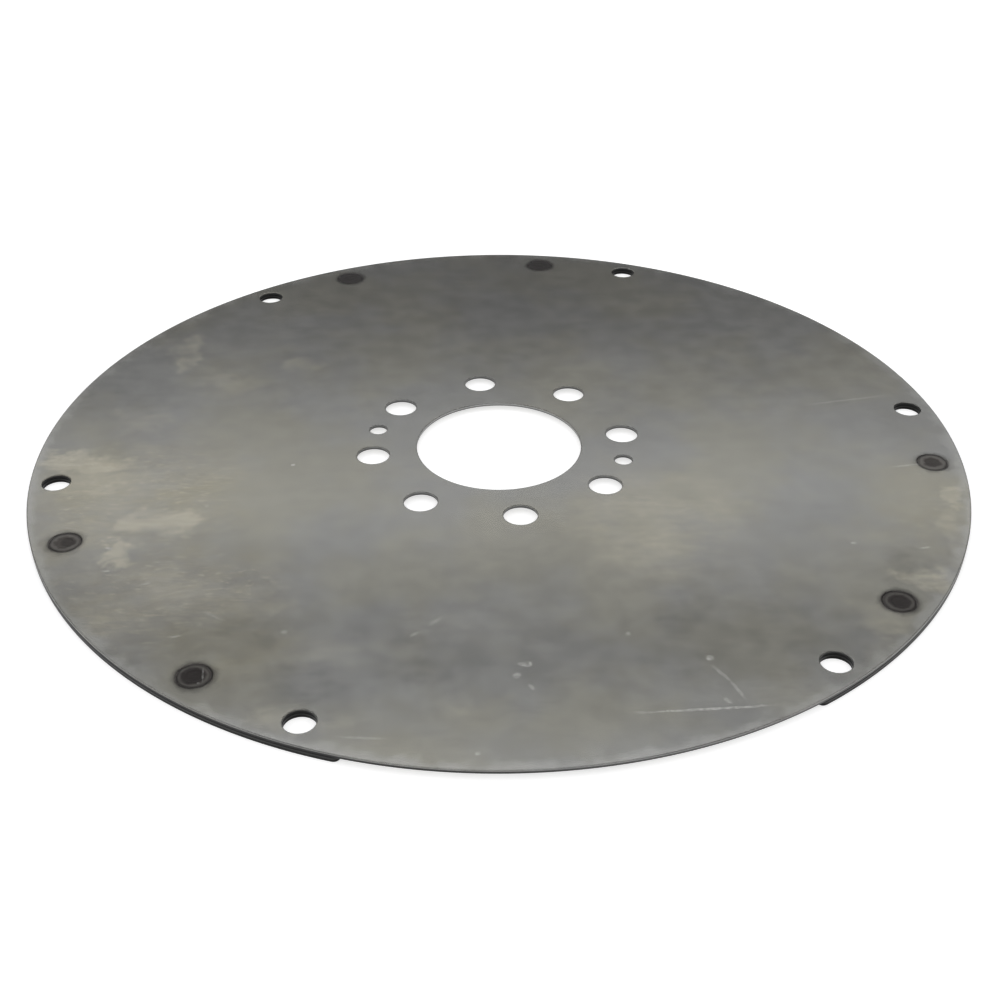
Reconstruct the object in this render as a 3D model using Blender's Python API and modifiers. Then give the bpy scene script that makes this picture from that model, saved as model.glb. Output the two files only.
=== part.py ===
"""Flexplate: a thin steel drive disc with three arc-shaped doublers spot-welded under its rim.

Metres, +Z up. The origin is on the disc's axis, level with the undersides of the doublers, which
the part lies on. One crank bolt hole and one rim bolt hole lie on +X.
"""

import math

import bmesh
import bpy
from mathutils import Vector

# Middle of the disc, where the crankshaft flange bolts on
BORE_DIAMETER = 0.0708
CRANK_BOLT_CIRCLE = 0.1088
CRANK_BOLT_HOLES = 8
CRANK_HOLE_DIAMETER = 0.0138
DOWEL_HOLES = 2
DOWEL_HOLE_DIAMETER = 0.0075

# Rim of the disc, where the converter bolts on
RIM_BOLT_CIRCLE = 0.3722
RIM_HOLE_DIAMETER = 0.0115
RIM_EDGE_MARGIN = 0.0109

# Sheet metal
DISC_THICKNESS = 0.0015
DOUBLER_THICKNESS = 0.0018
SEAT_GAP = 0.0003
EDGE_BREAK = 0.00015

# Doublers: strips that follow the rim and run past their bolt holes by the end margin
DOUBLER_NAMES = ("rear_doubler", "left_doubler", "right_doubler")
HOLES_PER_DOUBLER = 2
DOUBLER_WIDTH = 0.0256
DOUBLER_END_MARGIN = 0.0179
DOUBLER_CORNER_RADIUS = 0.0022

# Spot welds: on the middle line of a doubler, between its bolt holes and this far from one
WELD_FROM_BOLT = 0.0454
ELECTRODE_DIAMETER = 0.0122
GROOVE_WIDTH = 0.0006
GROOVE_DEPTH = 0.00012
FACE_DEPTH = 0.00003
NUGGET_DIAMETER = 0.0062
NUGGET_DEPTH = 0.0001

# Fineness of the model
CHORD_ERROR = 0.000045
STEP_MULTIPLE = 4
CORNER_STEPS = 3
MERGE_DISTANCE = 0.00001
SMOOTH_ANGLE = math.radians(30.0)

# Bare mill-finish steel
STEEL_COLOUR = (0.235, 0.235, 0.228, 1.0)
DOUBLER_COLOUR = (0.205, 0.205, 0.2, 1.0)
STEEL_ROUGHNESS = 0.42

# What follows from the sizes above
AXIS = Vector((0.0, 0.0))
FULL_TURN = 2.0 * math.pi
QUARTER_TURN = math.pi / 2.0
CRANK_CIRCLE_RADIUS = CRANK_BOLT_CIRCLE / 2.0
RIM_CIRCLE_RADIUS = RIM_BOLT_CIRCLE / 2.0
RIM_RADIUS = RIM_CIRCLE_RADIUS + RIM_EDGE_MARGIN
WELD_CIRCLE_RADIUS = RIM_RADIUS - DOUBLER_WIDTH / 2.0
DISC_UNDERSIDE = DOUBLER_THICKNESS + SEAT_GAP
CRANK_HOLE_PITCH = FULL_TURN / CRANK_BOLT_HOLES
DOUBLER_PITCH = FULL_TURN / len(DOUBLER_NAMES)
RIM_HOLE_PITCH = DOUBLER_PITCH / HOLES_PER_DOUBLER
END_HOLE_ANGLE = RIM_HOLE_PITCH * (HOLES_PER_DOUBLER - 1) / 2.0
DOUBLER_HALF_ANGLE = END_HOLE_ANGLE + DOUBLER_END_MARGIN / RIM_CIRCLE_RADIUS
WELD_ANGLE = END_HOLE_ANGLE - WELD_FROM_BOLT / RIM_CIRCLE_RADIUS
FIRST_DOUBLER_ANGLE = RIM_HOLE_PITCH + END_HOLE_ANGLE


def polar(radius, angle):
    """The point at this distance and direction from the disc's axis."""
    return Vector((radius * math.cos(angle), radius * math.sin(angle)))


def steps_in(radius, sweep):
    """How many chords an arc needs for none to stray from it by more than the chord error."""
    widest_chord = 2.0 * math.acos(1.0 - CHORD_ERROR / radius)
    return math.ceil(sweep / widest_chord)


def steps_round(radius):
    """How many chords a full circle gets, the same number in each quarter."""
    return STEP_MULTIPLE * math.ceil(steps_in(radius, FULL_TURN) / STEP_MULTIPLE)


def circle(diameter, centre=AXIS):
    """The outline of a round blank or hole."""
    radius = diameter / 2.0
    steps = steps_round(radius)
    return [centre + polar(radius, FULL_TURN * step / steps) for step in range(steps)]


def holes_on_circle(diameter, circle_radius, angles):
    """Round holes whose centres lie on a bolt circle."""
    return [circle(diameter, polar(circle_radius, angle)) for angle in angles]


def arc(centre, radius, start, end, steps):
    """Points along an arc, both ends included."""
    return [
        centre + polar(radius, start + (end - start) * step / steps) for step in range(steps + 1)
    ]


def doubler_outline():
    """A strip of the rim with rounded corners, laid out on both sides of +X.

    Half of it is drawn, from the middle of its outer edge round the end to the middle of its
    inner edge, and then mirrored.
    """
    end = DOUBLER_HALF_ANGLE
    corner = DOUBLER_CORNER_RADIUS
    outer_centre_radius = RIM_RADIUS - corner
    inner_radius = RIM_RADIUS - DOUBLER_WIDTH
    inner_centre_radius = inner_radius + corner
    outer_tangent = end - math.asin(corner / outer_centre_radius)
    inner_tangent = end - math.asin(corner / inner_centre_radius)

    half = arc(AXIS, RIM_RADIUS, 0.0, outer_tangent, steps_in(RIM_RADIUS, outer_tangent))[:-1]
    half += arc(
        polar(outer_centre_radius, outer_tangent),
        corner,
        outer_tangent,
        end + QUARTER_TURN,
        CORNER_STEPS,
    )
    half += arc(
        polar(inner_centre_radius, inner_tangent),
        corner,
        end + QUARTER_TURN,
        inner_tangent + math.pi,
        CORNER_STEPS,
    )[:-1]
    half += arc(AXIS, inner_radius, inner_tangent, 0.0, steps_in(inner_radius, inner_tangent))
    mirrored = [Vector((point.x, -point.y)) for point in reversed(half[1:-1])]
    return half + mirrored


def clear_scene():
    """Take away whatever objects the file opened with."""
    for scene_object in list(bpy.data.objects):
        bpy.data.objects.remove(scene_object, do_unlink=True)


def new_collection(name):
    """A collection of its own in the scene."""
    collection = bpy.data.collections.new(name)
    bpy.context.scene.collection.children.link(collection)
    return collection


def steel(name, colour):
    """Bare satin steel of the given colour."""
    material = bpy.data.materials.new(name)
    material.use_nodes = True
    shader = material.node_tree.nodes["Principled BSDF"]
    shader.inputs["Base Color"].default_value = colour
    shader.inputs["Roughness"].default_value = STEEL_ROUGHNESS
    shader.inputs["Metallic"].default_value = 1.0
    return material


def stamping(name, outlines, thickness, material, collection):
    """A flat blank with its holes and slightly broken edges, its middle plane on z = 0."""
    curve = bpy.data.curves.new(name, "CURVE")
    curve.dimensions = "2D"
    curve.fill_mode = "BOTH"
    curve.extrude = thickness / 2.0 - EDGE_BREAK
    curve.bevel_depth = EDGE_BREAK
    curve.bevel_resolution = 0
    curve.offset = -EDGE_BREAK
    for outline in outlines:
        spline = curve.splines.new("POLY")
        spline.points.add(len(outline) - 1)
        for point, place in zip(spline.points, outline):
            point.co = (place.x, place.y, 0.0, 1.0)
        spline.use_cyclic_u = True
    drawing = bpy.data.objects.new(name + "_drawing", curve)
    collection.objects.link(drawing)

    depsgraph = bpy.context.evaluated_depsgraph_get()
    mesh = bpy.data.meshes.new_from_object(drawing.evaluated_get(depsgraph))
    mesh.name = name
    shape = bmesh.new()
    shape.from_mesh(mesh)
    bmesh.ops.remove_doubles(shape, verts=shape.verts, dist=MERGE_DISTANCE)
    shape.to_mesh(mesh)
    shape.free()
    mesh.shade_smooth()
    mesh.set_sharp_from_angle(angle=SMOOTH_ANGLE)
    mesh.materials.clear()
    mesh.materials.append(material)

    blank = bpy.data.objects.new(name, mesh)
    blank.matrix_world = drawing.matrix_world
    collection.objects.link(blank)
    bpy.data.objects.remove(drawing, do_unlink=True)
    return blank


def electrode_profile():
    """Half section of a welding electrode's mark, from above the sheet down to its bottom.

    A V-shaped groove runs round a slightly sunken face, with a deeper dimple over the nugget.
    The groove's outer side goes on above the sheet, so that the cut is clean.
    """
    rim = ELECTRODE_DIAMETER / 2.0
    half_groove = GROOVE_WIDTH / 2.0
    nugget = NUGGET_DIAMETER / 2.0
    return [
        (0.0, GROOVE_DEPTH),
        (rim + half_groove, GROOVE_DEPTH),
        (rim - half_groove, -GROOVE_DEPTH),
        (rim - GROOVE_WIDTH, -FACE_DEPTH),
        (nugget + half_groove, -FACE_DEPTH),
        (nugget - half_groove, -NUGGET_DEPTH),
        (0.0, -NUGGET_DEPTH),
    ]


def electrode_cutter(name, collection):
    """The profile of an electrode's mark turned about its axis."""
    mesh = bpy.data.meshes.new(name)
    shape = bmesh.new()
    points = [shape.verts.new((radius, 0.0, height)) for radius, height in electrode_profile()]
    for start, end in zip(points, points[1:]):
        shape.edges.new((start, end))
    shape.to_mesh(mesh)
    shape.free()

    cutter = bpy.data.objects.new(name, mesh)
    collection.objects.link(cutter)
    cutter.hide_render = True
    cutter.display_type = "WIRE"
    turn = cutter.modifiers.new("Turn", "SCREW")
    turn.steps = steps_round(ELECTRODE_DIAMETER / 2.0)
    turn.render_steps = turn.steps
    turn.use_merge_vertices = True
    turn.merge_threshold = MERGE_DISTANCE
    turn.use_smooth_shade = False
    return cutter


def press_weld_marks(sheet, face_height, facing, middles, cutters):
    """Cut a pair of electrode marks into one face of a sheet for each doubler over or under it.

    The face's height is measured from the sheet's own middle plane. The facing is +1 for a
    top face and -1 for an underside.
    """
    flip = 0.0 if facing > 0 else math.pi
    for index, middle in enumerate(middles):
        for side in (-1, 1):
            place = polar(WELD_CIRCLE_RADIUS, middle + side * WELD_ANGLE)
            hand = "first" if side < 0 else "second"
            cutter = electrode_cutter(f"{sheet.name}_mark_{index + 1}_{hand}", cutters)
            cutter.parent = sheet
            cutter.location = (place.x, place.y, face_height)
            cutter.rotation_euler = (flip, 0.0, 0.0)
            cut = sheet.modifiers.new(f"Weld {index + 1} {hand}", "BOOLEAN")
            cut.operation = "DIFFERENCE"
            cut.solver = "EXACT"
            cut.object = cutter


def dowel_angles():
    """The dowel holes' directions: spread evenly, each midway between two crank bolt holes."""
    first = -CRANK_HOLE_PITCH / 2.0
    return [first + FULL_TURN * index / DOWEL_HOLES for index in range(DOWEL_HOLES)]


def drive_disc(middles, collection, cutters):
    """The thin disc, with its bore, its two circles of bolt holes and its weld marks."""
    crank_angles = [CRANK_HOLE_PITCH * index for index in range(CRANK_BOLT_HOLES)]
    rim_holes = len(DOUBLER_NAMES) * HOLES_PER_DOUBLER
    rim_angles = [RIM_HOLE_PITCH * index for index in range(rim_holes)]
    outlines = [circle(2.0 * RIM_RADIUS), circle(BORE_DIAMETER)]
    outlines += holes_on_circle(CRANK_HOLE_DIAMETER, CRANK_CIRCLE_RADIUS, crank_angles)
    outlines += holes_on_circle(DOWEL_HOLE_DIAMETER, CRANK_CIRCLE_RADIUS, dowel_angles())
    outlines += holes_on_circle(RIM_HOLE_DIAMETER, RIM_CIRCLE_RADIUS, rim_angles)

    disc = stamping(
        "drive_disc", outlines, DISC_THICKNESS, steel("disc_steel", STEEL_COLOUR), collection
    )
    disc.location.z = DISC_UNDERSIDE + DISC_THICKNESS / 2.0
    press_weld_marks(disc, DISC_THICKNESS / 2.0, 1, middles, cutters)
    return disc


def doubler(name, middle, collection, cutters):
    """One reinforcing strip under the rim, with its bolt holes and the marks on its underside."""
    hole_angles = [
        RIM_HOLE_PITCH * index - END_HOLE_ANGLE for index in range(HOLES_PER_DOUBLER)
    ]
    outlines = [doubler_outline()]
    outlines += holes_on_circle(RIM_HOLE_DIAMETER, RIM_CIRCLE_RADIUS, hole_angles)
    material = steel(name + "_steel", DOUBLER_COLOUR)
    strip = stamping(name, outlines, DOUBLER_THICKNESS, material, collection)
    strip.location.z = DOUBLER_THICKNESS / 2.0
    strip.rotation_euler.z = middle
    press_weld_marks(strip, -DOUBLER_THICKNESS / 2.0, -1, [0.0], cutters)
    return strip


def build():
    """Build the flexplate as it lies, its doublers down, on one empty that carries the pieces."""
    clear_scene()
    pieces = new_collection("flexplate")
    cutters = new_collection("cutters")
    middles = [
        FIRST_DOUBLER_ANGLE + DOUBLER_PITCH * index for index in range(len(DOUBLER_NAMES))
    ]

    carrier = bpy.data.objects.new("flexplate", None)
    pieces.objects.link(carrier)
    disc = drive_disc(middles, pieces, cutters)
    disc.parent = carrier
    for name, middle in zip(DOUBLER_NAMES, middles):
        strip = doubler(name, middle, pieces, cutters)
        strip.parent = carrier


build()
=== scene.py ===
"""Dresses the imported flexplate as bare, lightly oiled sheet steel on a pale studio floor.

The disc and its three doublers are drawn again as sheared sheets: a rolled-over top edge, a burnished
band and a torn band under it, and the sunken marks that the welding electrodes left. Each one stands
for the CAD node of the same name and keeps to its place. Lengths are in metres, +Z is up, and inside
the materials a position is in millimetres.
"""

import logging
import math
from dataclasses import dataclass, field, replace
from enum import Enum
from itertools import chain
from typing import Any, ClassVar, Iterable, Iterator

import bpy
from mathutils import Matrix, Vector


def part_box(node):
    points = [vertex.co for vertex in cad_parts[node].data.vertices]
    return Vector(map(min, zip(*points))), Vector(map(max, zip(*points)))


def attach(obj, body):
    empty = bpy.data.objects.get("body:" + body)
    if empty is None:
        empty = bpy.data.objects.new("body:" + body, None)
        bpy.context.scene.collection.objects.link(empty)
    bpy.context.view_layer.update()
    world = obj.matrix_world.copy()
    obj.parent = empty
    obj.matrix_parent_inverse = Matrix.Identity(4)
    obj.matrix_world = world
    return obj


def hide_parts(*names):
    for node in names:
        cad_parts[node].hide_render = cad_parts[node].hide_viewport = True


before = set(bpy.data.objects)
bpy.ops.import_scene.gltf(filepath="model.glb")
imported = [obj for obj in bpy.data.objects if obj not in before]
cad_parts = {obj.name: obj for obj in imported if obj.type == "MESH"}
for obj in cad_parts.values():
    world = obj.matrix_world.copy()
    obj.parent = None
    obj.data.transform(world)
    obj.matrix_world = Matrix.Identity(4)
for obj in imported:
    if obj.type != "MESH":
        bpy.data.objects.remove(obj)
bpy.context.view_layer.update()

LOG = logging.getLogger("flexplate")
MILLIMETRE = 0.001
FULL_TURN = 2.0 * math.pi
SEAM_DISTANCE = 0.000001
CORNER_STEPS = 10
NODE_SPACING = 220.0
SEED_STRIDE = (317.0, 173.0, 71.0)
SHAKE_DETAIL = 3.0
SHAKE_ROUGHNESS = 0.6
HAIR_SLANT = math.radians(-24.0)
WIPING_DIRECTION = math.radians(-9.2)

Colour = tuple[float, float, float]
Place = tuple[float, float]
Stretch = tuple[float, float, float]


class Side(Enum):
    """Which way a face of a sheet looks."""

    TOP = 1
    UNDERSIDE = -1


class Kind(Enum):
    """The kinds of socket that the groups here take and give."""

    NUMBER = "NodeSocketFloat"
    WHOLE = "NodeSocketInt"
    VECTOR = "NodeSocketVector"
    SHAPE = "NodeSocketGeometry"
    MATERIAL = "NodeSocketMaterial"


@dataclass(frozen=True)
class Plug:
    """One named socket on the outside of a node group."""

    name: str
    kind: Kind = Kind.NUMBER


class Graph:
    """A node tree as it is being drawn, with short ways to add and join its nodes."""

    def __init__(self, tree: bpy.types.NodeTree) -> None:
        """Take up a tree."""
        self.tree = tree

    def node(self, kind: str, feeds: dict[Any, Any] | None = None, **settings: Any) -> bpy.types.Node:
        """Add one node.

        Args:
            kind: the node's type name.
            feeds: what goes into its inputs, by socket name or number: a socket or a plain value.
            settings: the node's own properties.

        Returns:
            The new node.
        """
        made = self.tree.nodes.new(kind)
        for name, value in settings.items():
            setattr(made, name, value)
        for key, value in (feeds or {}).items():
            self.feed(made.inputs[key], value)
        return made

    def first(
        self, kind: str, feeds: dict[Any, Any] | None = None, **settings: Any
    ) -> bpy.types.NodeSocket:
        """Add one node, as node() does, and return its first output."""
        return self.node(kind, feeds, **settings).outputs[0]

    def feed(self, socket: bpy.types.NodeSocket, value: Any) -> None:
        """Join a socket to what feeds it, or set its plain value.

        Args:
            socket: the input to fill.
            value: an output socket, or a plain value.
        """
        if isinstance(value, bpy.types.NodeSocket):
            self.tree.links.new(value, socket)
        else:
            socket.default_value = value

    def math(self, operation: str, *values: Any, clamp: bool = False) -> bpy.types.NodeSocket:
        """Work out one number."""
        return self.first("ShaderNodeMath", dict(enumerate(values)), operation=operation, use_clamp=clamp)

    def plus(self, first: Any, second: Any) -> bpy.types.NodeSocket:
        """Add two numbers."""
        return self.math("ADD", first, second)

    def minus(self, first: Any, second: Any) -> bpy.types.NodeSocket:
        """Take the second number from the first."""
        return self.math("SUBTRACT", first, second)

    def times(self, first: Any, second: Any) -> bpy.types.NodeSocket:
        """Multiply two numbers."""
        return self.math("MULTIPLY", first, second)

    def over(self, first: Any, second: Any) -> bpy.types.NodeSocket:
        """Divide the first number by the second."""
        return self.math("DIVIDE", first, second)

    def slope(self, value: Any, steepness: Any, start: Any) -> bpy.types.NodeSocket:
        """Multiply a value by a steepness and add it to a start."""
        return self.math("MULTIPLY_ADD", value, steepness, start)

    def swing(self, cloud: Any) -> bpy.types.NodeSocket:
        """Move a cloud of numbers about 0.5 so that it swings about 0."""
        return self.minus(cloud, 0.5)

    def vector(self, operation: str, *values: Any, scale: Any = None) -> bpy.types.NodeSocket:
        """Work out one vector, or its length or a dot product.

        Args:
            operation: the Vector Math node's operation.
            values: its vector inputs.
            scale: the number that the SCALE operation takes.

        Returns:
            The result's socket.
        """
        made = self.node("ShaderNodeVectorMath", dict(enumerate(values)), operation=operation)
        if scale is not None:
            self.feed(made.inputs["Scale"], scale)
        return made.outputs["Value" if operation in ("LENGTH", "DOT_PRODUCT") else "Vector"]

    def point(self, x: Any, y: Any, z: Any = 0.0) -> bpy.types.NodeSocket:
        """Put three numbers together."""
        return self.first("ShaderNodeCombineXYZ", {0: x, 1: y, 2: z})

    def parts(self, vector: Any) -> bpy.types.NodeOutputs:
        """Take a vector apart."""
        return self.node("ShaderNodeSeparateXYZ", {0: vector}).outputs

    def fade(
        self, value: Any, start: Any, end: Any, low: Any = 0.0, high: Any = 1.0
    ) -> bpy.types.NodeSocket:
        """Pass smoothly from low to high as a value goes from start to end, be the end above or below."""
        feeds = {"Value": value, "From Min": start, "From Max": end, "To Min": low, "To Max": high}
        return self.first("ShaderNodeMapRange", feeds, interpolation_type="SMOOTHSTEP")

    def noise(
        self,
        position: Any,
        size: Any,
        detail: float = 2.0,
        rough: float = 0.5,
        seed: Any = 0.0,
        solid: bool = False,
    ) -> bpy.types.NodeSocket:
        """Lay down a cloud of numbers about 0.5.

        Args:
            position: where it is read, in millimetres.
            size: the size of its lumps in millimetres.
            detail: how many finer layers it has.
            rough: how strong the finer layers are.
            seed: which of the endless clouds it is.
            solid: whether it varies with height too.

        Returns:
            The cloud's socket.
        """
        joined = isinstance(size, bpy.types.NodeSocket)
        fineness = self.over(1.0, size) if joined else 1.0 / size
        steps = seed if isinstance(seed, bpy.types.NodeSocket) else (seed, seed, seed)
        moved = self.vector("MULTIPLY_ADD", steps, SEED_STRIDE, position)
        feeds = {"Vector": moved, "Scale": fineness, "Detail": detail, "Roughness": rough}
        return self.first("ShaderNodeTexNoise", feeds, noise_dimensions="3D" if solid else "2D")

    def shake(self, position: Any, size: float, reach: float, seed: float = 0.0) -> bpy.types.NodeSocket:
        """Shift a flat position by noise, so that an outline drawn with it comes out ragged.

        Args:
            position: the position, in millimetres.
            size: the size of the broadest wobbles, in millimetres.
            reach: the length of the noise's full swing, in millimetres.
            seed: which of the endless clouds the noise is.

        Returns:
            The shifted position's socket.
        """
        moved = self.vector("ADD", position, (seed, seed, 0.0))
        feeds = {"Vector": moved, "Scale": 1.0 / size, "Detail": SHAKE_DETAIL, "Roughness": SHAKE_ROUGHNESS}
        cloud = self.node("ShaderNodeTexNoise", feeds, noise_dimensions="2D").outputs["Color"]
        shift = self.vector("SUBTRACT", cloud, (0.5, 0.5, 0.5))
        return self.vector("MULTIPLY_ADD", shift, (reach, reach, 0.0), position)

    def mix(self, share: Any, first: Any, second: Any) -> bpy.types.NodeSocket:
        """Mix two colours.

        Args:
            share: how much of the second there is.
            first: the first colour.
            second: the second colour.

        Returns:
            The colour's socket.
        """
        made = self.node("ShaderNodeMix", data_type="RGBA")
        self.feed(made.inputs[0], share)
        self.feed(made.inputs[6], first)
        self.feed(made.inputs[7], second)
        return made.outputs[2]

    def compare(self, operation: str, first: Any, second: Any) -> bpy.types.NodeSocket:
        """Compare two numbers."""
        feeds = {"A": first, "B": second}
        return self.first("FunctionNodeCompare", feeds, data_type="FLOAT", operation=operation)

    def join(self, shapes: Iterable[Any]) -> bpy.types.NodeSocket:
        """Join several shapes.

        Args:
            shapes: the shapes' sockets.

        Returns:
            The joint shape's socket.
        """
        made = self.node("GeometryNodeJoinGeometry")
        for shape in shapes:
            self.feed(made.inputs[0], shape)
        return made.outputs[0]

    def group(self, tree: bpy.types.NodeTree, feeds: dict[str, Any]) -> bpy.types.NodeOutputs:
        """Place a node group."""
        kind = "ShaderNodeGroup" if tree.type == "SHADER" else "GeometryNodeGroup"
        return self.node(kind, feeds, node_tree=tree).outputs

    def strongest(self, masks: Iterable[Any]) -> Any:
        """Take the strongest of several masks at each point.

        Args:
            masks: the masks' sockets.

        Returns:
            The joint mask's socket, or a plain 0 where there are none.
        """
        joint: Any = 0.0
        for place, mask in enumerate(masks):
            joint = mask if place == 0 else self.math("MAXIMUM", joint, mask)
        return joint

    def arrange(self) -> None:
        """Set the nodes out in columns, each one to the right of all that feed it."""
        column: dict[str, int] = {}

        def depth(node: bpy.types.Node) -> int:
            """Find a node's column.

            Args:
                node: the node.

            Returns:
                The column, counted from the left.
            """
            if node.name not in column:
                column[node.name] = 0
                feeders = [link.from_node for socket in node.inputs for link in socket.links]
                column[node.name] = 1 + max((depth(feeder) for feeder in feeders), default=-1)
            return column[node.name]

        filled: dict[int, int] = {}
        for node in self.tree.nodes:
            place = depth(node)
            filled[place] = filled.get(place, 0) + 1
            node.location = (NODE_SPACING * place, -NODE_SPACING * filled[place])


class Group(Graph):
    """A node group as it is being drawn, with named inputs and outputs."""

    def __init__(self, name: str, family: str, takes: Iterable[Plug], gives: Iterable[Plug]) -> None:
        """Start a group.

        Args:
            name: the group's name.
            family: ShaderNodeTree or GeometryNodeTree.
            takes: its inputs.
            gives: its outputs.
        """
        super().__init__(bpy.data.node_groups.new(name, family))
        for plugs, way in ((takes, "INPUT"), (gives, "OUTPUT")):
            for plug in plugs:
                self.tree.interface.new_socket(plug.name, in_out=way, socket_type=plug.kind.value)
        self.given = self.tree.nodes.new("NodeGroupInput").outputs
        self.wanted = self.tree.nodes.new("NodeGroupOutput").inputs

    def finish(self, results: dict[str, Any]) -> bpy.types.NodeTree:
        """Join the results to the outputs.

        Args:
            results: what each output gives, by name.

        Returns:
            The finished group.
        """
        for name, value in results.items():
            self.feed(self.wanted[name], value)
        self.arrange()
        return self.tree


class Finish(Graph):
    """A material's tree as it is being drawn, round the shader that it starts with."""

    def __init__(self, name: str) -> None:
        """Start a material.

        Args:
            name: the material's name.
        """
        self.made = bpy.data.materials.new(name)
        self.made.use_nodes = True
        super().__init__(self.made.node_tree)
        self.shader = self.tree.nodes["Principled BSDF"]

    def position(self) -> bpy.types.NodeSocket:
        """Read where a point of the object lies, in millimetres."""
        place = self.node("ShaderNodeTexCoord").outputs["Object"]
        return self.vector("SCALE", place, scale=1.0 / MILLIMETRE)

    def coat(self, feeds: dict[str, Any]) -> None:
        """Fill the shader's inputs.

        Args:
            feeds: what goes into them, by name: a socket or a plain value.
        """
        for name, value in feeds.items():
            self.feed(self.shader.inputs[name], value)

    def metal(self, colour: Any, roughness: Any, height: Any) -> bpy.types.Material:
        """Finish the material as bare metal.

        Args:
            colour: its colour.
            roughness: how rough it is.
            height: its fine relief, in millimetres.

        Returns:
            The material.
        """
        relief = self.first("ShaderNodeBump", {"Strength": 1.0, "Distance": MILLIMETRE, "Height": height})
        self.coat({"Base Color": colour, "Roughness": roughness, "Metallic": 1.0, "Normal": relief})
        self.arrange()
        return self.made


def named_sizes(sizes: Any) -> dict[str, Any]:
    """Give the sizes that a piece's plugs are named for, under those names."""
    return {plug.name: getattr(sizes, plug.name.lower().replace(" ", "_")) for plug in sizes.PLUGS}


@dataclass(frozen=True)
class HoleCircle:
    """Round holes of one size, spread evenly on a circle about the disc's axis."""

    PLUGS: ClassVar[tuple[Plug, ...]] = (
        Plug("Count", Kind.WHOLE),
        Plug("Circle Radius"),
        Plug("Radius"),
        Plug("First Angle"),
        Plug("Pitch"),
        Plug("Steps", Kind.WHOLE),
    )

    count: int
    circle_radius: float
    hole_radius: float
    first_angle: float
    pitch: float
    steps: int = 80

    def feeds(self, prefix: str, turn: float = 0.0) -> dict[str, Any]:
        """Name this circle's sizes for a sheet's tree.

        Args:
            prefix: the words that the inputs' names start with.
            turn: how far the circle is turned from its first angle.

        Returns:
            The tree's inputs and their values.
        """
        angle = self.first_angle + turn
        values = (self.count, self.circle_radius, self.hole_radius, angle, self.pitch, self.steps)
        return {f"{prefix} {plug.name}": value for plug, value in zip(self.PLUGS, values)}

    @classmethod
    def plugs(cls, prefix: str) -> list[Plug]:
        """List the inputs that feeds() fills."""
        return [Plug(f"{prefix} {plug.name}", plug.kind) for plug in cls.PLUGS]


@dataclass(frozen=True)
class ShearedSection:
    """The edge of a sheet as a punch leaves it, from its top face down.

    The top edge is drawn over in a small curve. Below it is a bright burnished band, and the rest is
    torn and leans inward.
    """

    PLUGS: ClassVar[tuple[Plug, ...]] = (
        Plug("Roll Inset"), Plug("Roll Depth"), Plug("Burnish Share"),
        Plug("Tear Step"), Plug("Tear Lean"), Plug("Burr Break"),
    )

    roll_inset: float = 0.00040
    roll_depth: float = 0.00038
    roll_steps: int = 5
    burnish_share: float = 0.42
    tear_step: float = 0.00003
    tear_lean: float = 0.00008
    burr_break: float = 0.00005


@dataclass(frozen=True)
class ElectrodeMark:
    """The round mark of a welding electrode: a groove about a sunken land, and a rough core."""

    PLUGS: ClassVar[tuple[Plug, ...]] = (
        Plug("Circle Radius"), Plug("From Middle"), Plug("Opening Radius"), Plug("Depth"),
        Plug("Roughness"), Plug("Steps Round", Kind.WHOLE), Plug("Steps Out", Kind.WHOLE),
    )

    circle_radius: float = 0.1842
    from_middle: float = math.radians(16.04)
    opening_radius: float = 0.0068
    depth: float = 0.00014
    roughness: float = 0.00005
    steps_round: int = 80
    steps_out: int = 34
    crater_edge: Place = (0.85, 0.35)
    land_roughness: float = 0.12
    lump_size: float = 1.5
    rough_share: float = 0.98
    depth_curve: tuple[Place, ...] = (
        (0.0, 0.62), (0.30, 0.70), (0.40, 0.62), (0.47, 0.22), (0.60, 0.18), (0.80, 0.20),
        (0.86, 0.55), (0.895, 1.0), (0.925, 0.72), (0.96, 0.10), (1.0, 0.0),
    )

    def groove_radius(self) -> float:
        """Find where the mark is deepest."""
        deepest = max(self.depth_curve, key=lambda place: place[1])
        return deepest[0] * self.opening_radius


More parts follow.
